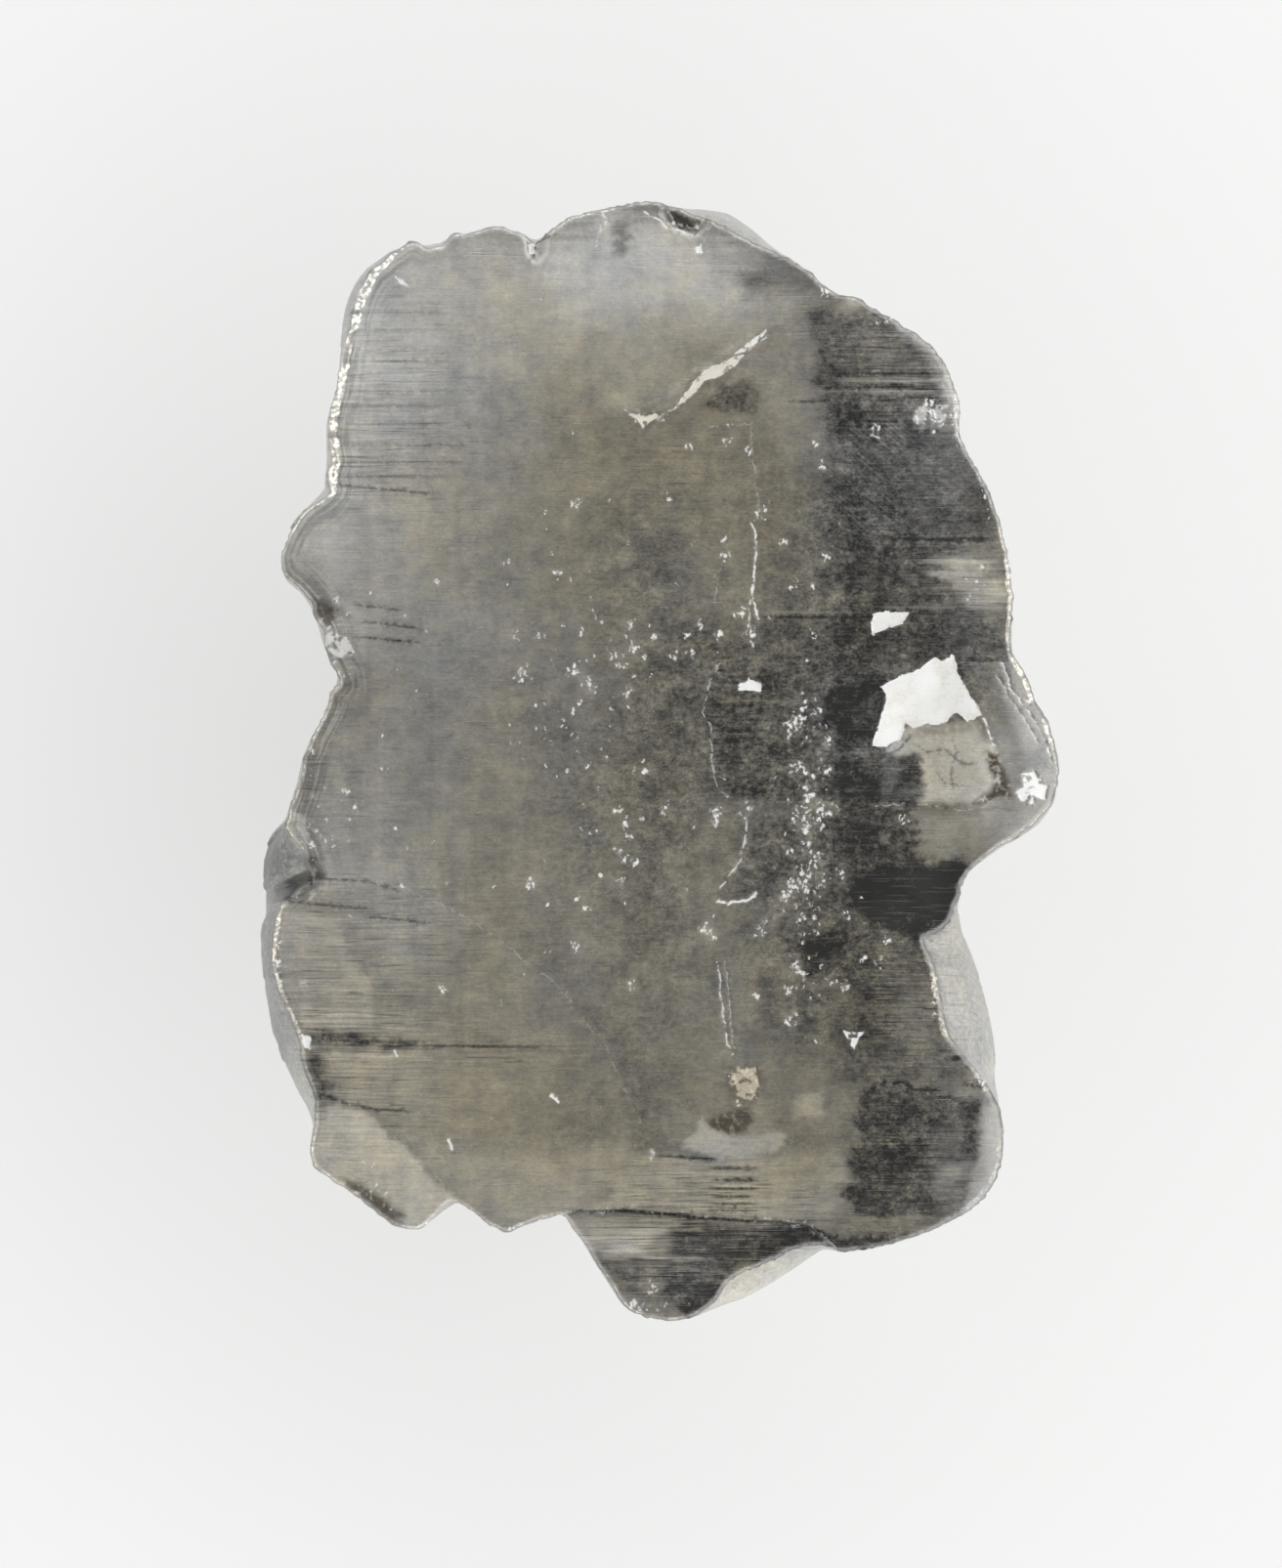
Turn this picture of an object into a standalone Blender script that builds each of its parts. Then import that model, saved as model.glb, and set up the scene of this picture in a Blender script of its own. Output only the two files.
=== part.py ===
"""A rough diamond: one flat, cloudy grey crystal that lies on its underside with its broad face up.

Blender 4.5, metres, +Z up, +Y along the stone's length. The origin is on the resting surface,
under the middle of the stone. The broad face is a worn cleavage with a sharp rim. Below the rim
the walls flare out to a girdle, and then run in over cleavage facets to a small flat underside.
"""

import math

import bmesh
import bpy
import numpy as np
from mathutils import Matrix, Vector
from mathutils.geometry import delaunay_2d_cdt

MM = 0.001

# Driving heights of the stone, in millimetres above the surface it rests on
FACE_Z = 4.2
GIRDLE_Z = 2.9
REST_Z = 0.0

# The middle that the outlines are seen from: every outline point is in plain sight of it
MIDDLE = (0.15, 0.0)

# The sharp rim of the face, in millimetres, anticlockwise from the top as seen from above
RIM = [
    (-0.15, 5.76), (-0.43, 5.71), (-0.63, 5.67), (-0.85, 5.62), (-1.05, 5.53), (-1.17, 5.42),
    (-1.28, 5.34), (-1.38, 5.41), (-1.53, 5.48), (-1.72, 5.51), (-1.90, 5.45), (-2.13, 5.42),
    (-2.25, 5.31), (-2.39, 5.28), (-2.50, 5.35), (-2.65, 5.31), (-2.82, 5.18), (-2.98, 5.04),
    (-3.09, 4.85), (-3.17, 4.62), (-3.21, 4.42), (-3.28, 4.15), (-3.32, 3.88), (-3.39, 3.60),
    (-3.41, 3.35), (-3.39, 3.12), (-3.43, 2.87), (-3.39, 2.78), (-3.53, 2.69), (-3.67, 2.59),
    (-3.78, 2.44), (-3.86, 2.27), (-3.90, 2.10), (-3.86, 1.92), (-3.72, 1.80), (-3.61, 1.66),
    (-3.54, 1.48), (-3.45, 1.31), (-3.45, 1.17), (-3.38, 1.00), (-3.29, 0.83), (-3.38, 0.72),
    (-3.44, 0.52), (-3.57, 0.28), (-3.67, 0.05), (-3.72, -0.20), (-3.81, -0.45), (-3.86, -0.68),
    (-3.77, -0.82), (-3.67, -1.02), (-3.60, -1.18), (-3.74, -1.32), (-3.91, -1.45), (-3.96, -1.68),
    (-4.00, -1.95), (-3.98, -2.20), (-3.90, -2.42), (-3.80, -2.65), (-3.72, -2.82), (-3.69, -3.05),
    (-3.62, -3.28), (-3.55, -3.50), (-3.55, -3.75), (-3.60, -4.02), (-3.54, -4.18), (-3.35, -4.31),
    (-3.10, -4.48), (-2.87, -4.66), (-2.72, -4.77), (-2.58, -4.80), (-2.44, -4.79), (-2.32, -4.68),
    (-2.17, -4.53), (-2.05, -4.54), (-1.88, -4.65), (-1.72, -4.78), (-1.60, -4.84), (-1.43, -4.78),
    (-1.23, -4.71), (-1.02, -4.66), (-0.90, -4.80), (-0.77, -4.95), (-0.68, -5.12), (-0.55, -5.32),
    (-0.43, -5.50), (-0.32, -5.63), (-0.13, -5.71), (0.10, -5.75), (0.30, -5.73), (0.45, -5.65),
    (0.60, -5.52), (0.73, -5.33), (0.93, -5.22), (1.15, -5.14), (1.31, -5.05), (1.48, -4.99),
    (1.67, -4.98), (1.87, -5.03), (2.15, -5.00), (2.43, -4.94), (2.70, -4.85), (2.95, -4.74),
    (3.17, -4.63), (3.33, -4.50), (3.46, -4.30), (3.53, -4.05), (3.54, -3.80), (3.51, -3.58),
    (3.43, -3.42), (3.33, -3.26), (3.15, -3.04), (2.99, -2.83), (2.95, -2.72), (2.92, -2.55),
    (2.87, -2.30), (2.82, -2.08), (2.73, -1.88), (2.72, -1.80), (2.87, -1.75), (2.99, -1.64),
    (3.07, -1.45), (3.12, -1.25), (3.18, -1.13), (3.30, -1.03), (3.45, -0.92), (3.67, -0.78),
    (3.87, -0.63), (4.03, -0.46), (4.11, -0.26), (4.12, -0.02), (4.08, 0.18), (4.01, 0.38),
    (3.91, 0.58), (3.81, 0.80), (3.73, 0.98), (3.64, 1.12), (3.61, 1.30), (3.63, 1.50),
    (3.64, 1.72), (3.61, 1.95), (3.58, 2.18), (3.52, 2.40), (3.45, 2.63), (3.37, 2.84),
    (3.28, 3.00), (3.17, 3.18), (3.10, 3.33), (3.07, 3.44), (3.09, 3.62), (3.05, 3.82),
    (2.97, 4.02), (2.85, 4.22), (2.68, 4.38), (2.45, 4.52), (2.25, 4.63), (2.05, 4.76),
    (1.87, 4.80), (1.78, 4.82), (1.68, 4.91), (1.51, 5.06), (1.33, 5.18), (1.13, 5.27),
    (0.90, 5.37), (0.67, 5.50), (0.47, 5.59), (0.29, 5.66), (0.09, 5.73),
]

# The girdle, the widest section, where the walls turn under, from the same start
GIRDLE = [
    (-0.15, 5.77), (-0.45, 5.73), (-0.75, 5.67), (-1.03, 5.56), (-1.27, 5.40), (-1.70, 5.53),
    (-1.95, 5.47), (-2.20, 5.40), (-2.40, 5.36), (-2.75, 5.30), (-2.95, 5.18), (-3.12, 5.03),
    (-3.23, 4.83), (-3.29, 4.58), (-3.33, 4.08), (-3.37, 3.80), (-3.44, 3.55), (-3.44, 3.20),
    (-3.46, 2.85), (-3.59, 2.68), (-3.77, 2.50), (-3.89, 2.27), (-3.92, 2.05), (-3.86, 1.88),
    (-3.70, 1.74), (-3.57, 1.52), (-3.48, 1.25), (-3.37, 0.90), (-3.43, 0.70), (-3.55, 0.38),
    (-3.69, 0.08), (-3.77, -0.25), (-3.87, -0.58), (-4.03, -0.76), (-4.12, -1.00), (-4.13, -1.30),
    (-4.13, -1.65), (-4.11, -2.05), (-4.07, -2.40), (-4.00, -2.80), (-3.91, -3.10), (-3.79, -3.35),
    (-3.67, -3.55), (-3.59, -3.75), (-3.62, -4.02), (-3.57, -4.20), (-3.30, -4.37), (-3.00, -4.58),
    (-2.73, -4.79), (-2.45, -4.81), (-2.20, -4.63), (-2.05, -4.56), (-1.85, -4.68), (-1.60, -4.85),
    (-1.30, -4.75), (-1.02, -4.68), (-0.83, -4.90), (-0.68, -5.14), (-0.45, -5.50), (-0.30, -5.65),
    (0.10, -5.76), (0.40, -5.71), (0.65, -5.61), (0.90, -5.52), (1.20, -5.35), (1.45, -5.19),
    (1.68, -5.04), (1.90, -5.05), (2.25, -5.01), (2.70, -4.88), (3.10, -4.70), (3.35, -4.50),
    (3.50, -4.23), (3.55, -3.90), (3.52, -3.58), (3.48, -3.30), (3.47, -2.95), (3.41, -2.60),
    (3.33, -2.30), (3.25, -2.05), (3.15, -1.80), (3.13, -1.58), (3.17, -1.30), (3.25, -1.13),
    (3.45, -0.97), (3.70, -0.80), (3.93, -0.63), (4.08, -0.42), (4.13, -0.15), (4.11, 0.15),
    (4.03, 0.42), (3.89, 0.70), (3.76, 0.95), (3.65, 1.14), (3.64, 1.40), (3.66, 1.70),
    (3.62, 2.05), (3.54, 2.40), (3.41, 2.78), (3.25, 3.08), (3.11, 3.35), (3.10, 3.62),
    (3.03, 3.95), (2.88, 4.22), (2.65, 4.42), (2.30, 4.62), (2.00, 4.78), (1.83, 4.83),
    (1.65, 4.96), (1.40, 5.16), (1.15, 5.34), (0.93, 5.52), (0.70, 5.66), (0.45, 5.70),
    (0.25, 5.71), (0.05, 5.75),
]

# The worn edge of the face: first a short steep fall at the rim, then a wide slow one behind it
RIM_FALL = 0.06
RIM_FALL_WIDTH = 0.11
SLOW_FALL = 0.07
SLOW_FALL_WIDTH = 0.75
UNEVENNESS = 0.03
UNEVENNESS_SIZE = 1.9
UNEVENNESS_SEED = 3
WAVE_COUNT = 6
WAVE_SCALE = 3.0

# What is sunk in the face: each form has its depth, the width of the slope down from its
# outline, and the outline in millimetres. An outline may run out past the rim.
SUNKEN_FORMS = {
    "lower step": (0.34, 0.07, [
        (-1.05, -4.62), (-0.35, -4.56), (0.25, -4.61), (0.85, -4.66), (1.50, -4.72), (1.80, -4.95),
        (1.95, -5.40), (0.80, -6.30), (-0.90, -6.30), (-1.30, -5.20)]),
    "bright pit": (0.12, 0.12, [
        (2.18, 0.15), (2.24, 0.50), (2.32, 0.80), (2.55, 0.90), (2.80, 1.08), (3.04, 1.09),
        (3.20, 0.70), (3.42, 0.15), (3.60, -0.35), (3.27, -0.48), (2.70, -0.47), (2.23, -0.50)]),
    "right bulge": (0.36, 0.90, [
        (3.52, 1.40), (3.40, 1.05), (3.48, 0.55), (3.66, 0.05), (3.72, -0.35), (3.40, -0.70),
        (3.20, -1.60), (5.00, -1.60), (5.00, 1.40)]),
    "left bulge": (0.24, 1.15, [
        (-3.30, 3.00), (-2.95, 2.70), (-2.85, 2.10), (-3.00, 1.60), (-3.25, 1.35), (-5.20, 1.00),
        (-5.20, 3.40)]),
    "crumbled corner": (0.08, 0.20, [
        (-3.25, 1.75), (-2.98, 1.55), (-2.92, 1.20), (-3.05, 0.85), (-3.25, 0.62), (-3.90, 0.50),
        (-4.20, 1.30), (-3.80, 1.90)]),
    "left facet": (0.55, 0.42, [
        (-3.62, -0.52), (-3.58, -0.95), (-3.66, -1.25), (-3.80, -1.50), (-4.60, -1.70),
        (-4.60, -0.30)]),
    "left cavity": (0.28, 0.10, [
        (-3.72, -1.14), (-3.56, -1.12), (-3.50, -1.26), (-3.60, -1.42), (-3.90, -1.44),
        (-3.95, -1.20)]),
    "dark lobe": (0.05, 0.14, [
        (1.95, -1.25), (2.10, -1.05), (2.45, -0.97), (2.80, -1.00), (3.60, -0.95), (3.60, -1.90),
        (2.70, -2.00), (2.40, -1.88), (2.12, -1.72), (1.97, -1.50)]),
    "top chip": (0.30, 0.14, [
        (0.00, 5.62), (0.12, 5.46), (0.35, 5.38), (0.52, 5.48), (0.62, 5.90), (0.02, 6.10)]),
    "top notch": (0.16, 0.20, [
        (-1.42, 5.50), (-1.38, 5.20), (-1.27, 5.05), (-1.15, 5.18), (-1.08, 5.50)]),
    "feather scar": (0.05, 0.06, [
        (-0.38, 3.62), (-0.14, 3.53), (0.16, 3.64), (0.42, 3.88), (0.72, 4.08), (1.02, 4.34),
        (0.96, 4.42), (0.62, 4.20), (0.34, 4.02), (0.08, 3.78), (-0.16, 3.68), (-0.36, 3.72)]),
    "right end": (0.42, 0.42, [
        (3.26, -3.02), (3.24, -3.60), (3.20, -4.20), (2.96, -4.60), (3.30, -5.10), (4.40, -4.60),
        (4.40, -2.80)]),
    "upper right fall": (0.20, 0.45, [
        (3.36, 2.95), (2.98, 3.25), (2.86, 3.70), (2.66, 4.12), (2.30, 4.42), (2.60, 4.90),
        (3.80, 4.40), (4.00, 3.00)]),
}

# The face's points: a grid, closer points round each sunken form, and a row just inside the rim
GRID_STEP = 0.27
FORM_STEP = 0.14
RIM_ROW_INSET = 0.11
CLEAR_OF_RIM = 0.085
CLEAR_OF_EACH_OTHER = 0.075

# The triangles of the face fill the rim only, and points closer than this are one
FILL_THE_RIM = 1
FLAT_TOLERANCE = 0.000001

# The wall from the rim down to the girdle: the share of the way down, and of the way out
UPPER_RINGS = [(0.25, 0.45), (0.60, 0.80), (1.00, 1.00)]

# The wall from the girdle in to the flat it rests on: height, and scale about the middle
LOWER_RINGS = [
    (2.40, 0.985),
    (1.85, 0.950),
    (1.30, 0.895),
    (0.80, 0.830),
    (0.35, 0.750),
    (REST_Z, 0.660),
]

# Growth layers stand across the stone along X, lean in Y with depth, and end in ribs on the wall
LAYER_PITCH = 0.46
LAYER_LEAN = 0.30
RIB_DEPTH = 0.085
RIB_SEED = 11
LAYER_COUNT = 64

# Flat cleavage facets: the compass angle each one faces, its tilt down from the upright, the
# height it is measured at, and how far it is from the middle there. The last one looks up: it is
# the bright bevel along the upper left of the rim.
FACETS = [
    (6.0, 36.0, REST_Z, 2.20),
    (44.0, 45.0, REST_Z, 2.45),
    (82.0, 31.0, REST_Z, 4.05),
    (118.0, 40.0, REST_Z, 3.20),
    (163.0, 34.0, REST_Z, 2.45),
    (203.0, 46.0, REST_Z, 1.90),
    (238.0, 38.0, REST_Z, 3.15),
    (276.0, 30.0, REST_Z, 4.05),
    (318.0, 43.0, REST_Z, 2.60),
    (168.3, -48.0, FACE_Z, 4.09),
]

# Narrow grooves where growth layers end on the face: from and to, width and depth
GROOVES = [
    ((-3.90, -1.48), (-3.20, -1.49), 0.10, 0.10),
    ((-3.80, -2.86), (-2.35, -2.78), 0.09, 0.07),
    ((-3.75, -3.42), (-2.15, -3.36), 0.11, 0.09),
    ((2.30, 2.27), (3.75, 2.25), 0.09, 0.08),
    ((1.00, 1.52), (2.15, 1.50), 0.07, 0.06),
    ((3.20, 1.05), (3.75, 1.04), 0.10, 0.10),
    ((1.85, 3.85), (3.20, 3.83), 0.08, 0.07),
    ((1.95, -3.00), (3.00, -3.02), 0.08, 0.07),
    ((2.25, -3.42), (3.70, -3.40), 0.10, 0.09),
]

# The cleavage cuts and the mesh, in metres, and the sides of a groove's cutter
PLANE_TOLERANCE = 0.0000001
MERGE_DISTANCE = 0.000002
CUTTER_SIDES = 3

STONE_COLOR = (0.34, 0.33, 0.29, 1.0)
STONE_ROUGHNESS = 0.32


def clear_scene():
    """Remove what the scene holds at the start."""
    for old in list(bpy.data.objects):
        bpy.data.objects.remove(old)


def smooth(share):
    """An even S from 0 to 1."""
    share = np.clip(share, 0.0, 1.0)
    return share * share * (3.0 - 2.0 * share)


def wave(points, size, seed):
    """A gentle unevenness between about -1 and 1, from a few crossing waves of one size."""
    angles = np.random.default_rng(seed).uniform(0.0, 2.0 * math.pi, (WAVE_COUNT, 2))
    total = np.zeros(len(points))
    for heading, phase in angles:
        along = points[:, 0] * math.cos(heading) + points[:, 1] * math.sin(heading)
        total += np.sin(2.0 * math.pi * along / size + phase)
    return total / WAVE_SCALE


def edge_distance(points, outline):
    """Each point's distance to a closed outline."""
    nearest = np.full(len(points), np.inf)
    for start, end in zip(outline, np.roll(outline, -1, axis=0)):
        side = end - start
        share = np.clip((points - start) @ side / (side @ side), 0.0, 1.0)
        gap = np.linalg.norm(points - start - share[:, None] * side, axis=1)
        nearest = np.minimum(nearest, gap)
    return nearest


def is_inside(points, outline):
    """Whether each point is inside a closed outline, from the edges that a line to +X crosses."""
    inside = np.zeros(len(points), dtype=bool)
    x, y = points[:, 0], points[:, 1]
    for start, end in zip(outline, np.roll(outline, -1, axis=0)):
        spans = (start[1] > y) != (end[1] > y)
        rise = end[1] - start[1]
        if rise == 0.0:
            continue
        crossing = start[0] + (y - start[1]) * (end[0] - start[0]) / rise
        inside ^= spans & (x < crossing)
    return inside


def face_height(points):
    """The height of the broad face, in millimetres, at points on it."""
    from_rim = edge_distance(points, np.array(RIM))
    height = np.full(len(points), FACE_Z)
    height -= RIM_FALL * (1.0 - smooth(from_rim / RIM_FALL_WIDTH))
    height -= SLOW_FALL * (1.0 - smooth(from_rim / SLOW_FALL_WIDTH))
    height -= UNEVENNESS * smooth(0.5 + 0.5 * wave(points, UNEVENNESS_SIZE, UNEVENNESS_SEED))
    for depth, slope_width, outline in SUNKEN_FORMS.values():
        outline = np.array(outline)
        share = np.where(is_inside(points, outline), edge_distance(points, outline) / slope_width, 0.0)
        height -= depth * smooth(share)
    return height


def walk_outline(outline, step):
    """Points along a closed outline, no further apart than the step, and the way in from each."""
    places, inward = [], []
    for start, end in zip(outline, np.roll(outline, -1, axis=0)):
        side = end - start
        length = np.linalg.norm(side)
        count = max(1, math.ceil(length / step))
        for index in range(count):
            places.append(start + side * index / count)
            inward.append(np.array([-side[1], side[0]]) / length)
    return np.array(places), np.array(inward)


def turned_left(outline):
    """The outline in anticlockwise order."""
    ahead = np.roll(outline, -1, axis=0)
    area = np.sum(outline[:, 0] * ahead[:, 1] - ahead[:, 0] * outline[:, 1])
    return outline if area > 0.0 else outline[::-1]


def face_points():
    """The points inside the rim that carry the face's relief."""
    rim = np.array(RIM)
    places, inward = walk_outline(rim, GRID_STEP)
    groups = [places + inward * RIM_ROW_INSET]
    for _, slope_width, outline in SUNKEN_FORMS.values():
        places, inward = walk_outline(turned_left(np.array(outline)), FORM_STEP)
        groups.append(places)
        groups.append(places + inward * slope_width)
    low, high = rim.min(axis=0), rim.max(axis=0)
    across, along = np.meshgrid(
        np.arange(low[0], high[0], GRID_STEP), np.arange(low[1], high[1], GRID_STEP))
    across[1::2] += GRID_STEP / 2.0
    groups.append(np.column_stack([across.ravel(), along.ravel()]))
    chosen = np.empty((0, 2))
    for group in groups:
        fits = is_inside(group, rim) & (edge_distance(group, rim) > CLEAR_OF_RIM)
        for place in group[fits]:
            if np.all(np.linalg.norm(chosen - place, axis=1) > CLEAR_OF_EACH_OTHER):
                chosen = np.vstack([chosen, place])
    return chosen


def polar(outline):
    """The compass angle and the reach of each outline point, seen from the middle."""
    rel = np.array(outline) - MIDDLE
    return np.arctan2(rel[:, 1], rel[:, 0]), np.hypot(rel[:, 0], rel[:, 1])


def rib(along, height):
    """How far the wall stands back, in millimetres, where one growth layer ends short."""
    layer = np.floor((along + LAYER_LEAN * (FACE_Z - height)) / LAYER_PITCH).astype(int)
    set_back = np.random.default_rng(RIB_SEED).uniform(0.0, 1.0, LAYER_COUNT)
    return RIB_DEPTH * set_back[layer % LAYER_COUNT]


def wall_ring(heights, share_out, scale):
    """The wall's points at one height, or at each column's own, one under each rim point."""
    angles, rim_reach = polar(RIM)
    girdle_reach = np.interp(angles, *polar(GIRDLE), period=2.0 * math.pi)
    reach = ((1.0 - share_out) * rim_reach + share_out * girdle_reach) * scale
    below_face = smooth(FACE_Z - heights)
    reach -= rib(reach * np.sin(angles), heights) * np.abs(np.cos(angles)) * below_face
    plan = MIDDLE + reach[:, None] * np.column_stack([np.cos(angles), np.sin(angles)])
    return np.column_stack([plan, heights])


def wall_rings(rim_heights):
    """The rings of the wall, from just under the rim down to the flat."""
    rings = []
    for share_down, share_out in UPPER_RINGS:
        heights = (1.0 - share_down) * rim_heights + share_down * GIRDLE_Z
        rings.append(wall_ring(heights, share_out, 1.0))
    for height, scale in LOWER_RINGS:
        rings.append(wall_ring(np.full(len(rim_heights), height), 1.0, scale))
    return rings


def build_body():
    """The whole stone: the face, the wall rings below it, and the flat that it rests on."""
    rim = np.array(RIM)
    count = len(rim)
    flat_points = [Vector(place) for place in np.vstack([rim, face_points()])]
    loop = [(index, (index + 1) % count) for index in range(count)]
    places, _, triangles, sources, _, _ = delaunay_2d_cdt(
        flat_points, loop, [], FILL_THE_RIM, FLAT_TOLERANCE)
    rim_slots = {source: slot for slot, origin in enumerate(sources) for source in origin}

    shape = bmesh.new()
    plan = np.array([tuple(place) for place in places])
    heights = face_height(plan)
    top = [shape.verts.new((x * MM, y * MM, z * MM)) for (x, y), z in zip(plan, heights)]
    for triangle in triangles:
        shape.faces.new([top[slot] for slot in triangle])

    rim_order = [rim_slots[index] for index in range(count)]
    upper = [top[slot] for slot in rim_order]
    for ring in wall_rings(heights[rim_order]):
        lower = [shape.verts.new((x * MM, y * MM, z * MM)) for x, y, z in ring]
        for index in range(count):
            ahead = (index + 1) % count
            shape.faces.new([upper[index], lower[index], lower[ahead], upper[ahead]])
        upper = lower
    shape.faces.new(upper[::-1])
    return shape


def cleave(shape):
    """Cut the facets, one flat plane after another."""
    for angle, tilt, height, reach in FACETS:
        turn, lean = math.radians(angle), math.radians(tilt)
        ahead = Vector((math.cos(turn), math.sin(turn), 0.0))
        on_plane = Vector((*MIDDLE, height)) + ahead * reach
        facing = ahead * math.cos(lean) - Vector((0.0, 0.0, math.sin(lean)))
        everything = shape.verts[:] + shape.edges[:] + shape.faces[:]
        cut = bmesh.ops.bisect_plane(
            shape, geom=everything, dist=PLANE_TOLERANCE, plane_co=on_plane * MM,
            plane_no=facing, clear_outer=True)
        open_edges = [item for item in cut["geom_cut"] if isinstance(item, bmesh.types.BMEdge)]
        bmesh.ops.holes_fill(shape, edges=open_edges, sides=0)


def tidy_mesh(shape):
    """Merge points that coincide, and make every face a triangle that faces out."""
    bmesh.ops.remove_doubles(shape, verts=shape.verts[:], dist=MERGE_DISTANCE)
    bmesh.ops.dissolve_degenerate(shape, edges=shape.edges[:], dist=MERGE_DISTANCE)
    bmesh.ops.triangulate(shape, faces=shape.faces[:])
    bmesh.ops.recalc_face_normals(shape, faces=shape.faces[:])


def stone_material():
    """Plain cloudy grey."""
    material = bpy.data.materials.new("cloudy grey diamond")
    material.use_nodes = True
    shader = material.node_tree.nodes["Principled BSDF"]
    shader.inputs["Base Color"].default_value = STONE_COLOR
    shader.inputs["Roughness"].default_value = STONE_ROUGHNESS
    shader.inputs["Metallic"].default_value = 0.0
    return material


def add_groove_cutter(collection, index, start, end, width, depth):
    """A three-sided bar that lies along a groove, with one edge down."""
    start, end = Vector((*start, FACE_Z)), Vector((*end, FACE_Z))
    along = end - start
    bar = bmesh.new()
    bmesh.ops.create_cone(
        bar, cap_ends=True, segments=CUTTER_SIDES, radius1=1.0, radius2=1.0,
        depth=along.length * MM)
    for corner in bar.verts:
        side, up = corner.co.x, corner.co.y
        corner.co.x = side * width * MM
        corner.co.y = up * depth * MM
    mesh = bpy.data.meshes.new(f"groove_{index}")
    bar.to_mesh(mesh)
    bar.free()
    cutter = bpy.data.objects.new(f"groove_{index}", mesh)
    cutter.location = (start + end) / 2.0 * MM
    across = along.normalized().cross(Vector((0.0, 0.0, 1.0)))
    down = Vector((0.0, 0.0, -1.0))
    cutter.rotation_euler = Matrix((across, down, along.normalized())).transposed().to_euler()
    cutter.hide_render = True
    cutter.display_type = "WIRE"
    collection.objects.link(cutter)
    return cutter


def add_stone(collection, cutters):
    """The stone, with its grooves cut by Booleans."""
    shape = build_body()
    cleave(shape)
    tidy_mesh(shape)
    mesh = bpy.data.meshes.new("rough_diamond")
    shape.to_mesh(mesh)
    shape.free()
    mesh.materials.append(stone_material())
    stone = bpy.data.objects.new("rough_diamond", mesh)
    collection.objects.link(stone)
    for index, groove in enumerate(GROOVES):
        cut = stone.modifiers.new(f"groove_{index}", "BOOLEAN")
        cut.operation = "DIFFERENCE"
        cut.solver = "EXACT"
        cut.object = add_groove_cutter(cutters, index, *groove)
    return stone


clear_scene()
parts = bpy.data.collections.new("Rough diamond")
tools = bpy.data.collections.new("Cutters")
for group in (parts, tools):
    bpy.context.scene.collection.children.link(group)
add_stone(parts, tools)
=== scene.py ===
import math

import bpy
import numpy as np
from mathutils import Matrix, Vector
from mathutils.geometry import delaunay_2d_cdt


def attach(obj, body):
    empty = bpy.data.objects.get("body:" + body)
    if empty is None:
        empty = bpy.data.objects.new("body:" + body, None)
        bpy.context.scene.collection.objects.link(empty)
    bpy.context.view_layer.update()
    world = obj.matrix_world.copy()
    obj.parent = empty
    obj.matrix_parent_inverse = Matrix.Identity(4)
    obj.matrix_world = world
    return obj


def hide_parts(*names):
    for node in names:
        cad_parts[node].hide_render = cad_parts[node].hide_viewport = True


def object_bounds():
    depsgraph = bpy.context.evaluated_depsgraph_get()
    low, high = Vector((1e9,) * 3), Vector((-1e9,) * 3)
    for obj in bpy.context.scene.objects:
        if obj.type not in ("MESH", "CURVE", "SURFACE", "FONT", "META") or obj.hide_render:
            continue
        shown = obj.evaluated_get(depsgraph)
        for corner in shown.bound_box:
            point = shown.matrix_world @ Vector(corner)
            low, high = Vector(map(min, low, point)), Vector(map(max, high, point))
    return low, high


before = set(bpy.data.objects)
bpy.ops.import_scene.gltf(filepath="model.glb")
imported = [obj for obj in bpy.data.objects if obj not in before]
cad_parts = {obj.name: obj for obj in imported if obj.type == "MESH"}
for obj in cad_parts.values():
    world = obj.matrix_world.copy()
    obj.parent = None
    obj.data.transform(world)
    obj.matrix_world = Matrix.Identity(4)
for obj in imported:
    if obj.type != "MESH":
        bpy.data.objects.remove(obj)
cad_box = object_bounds()

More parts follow.
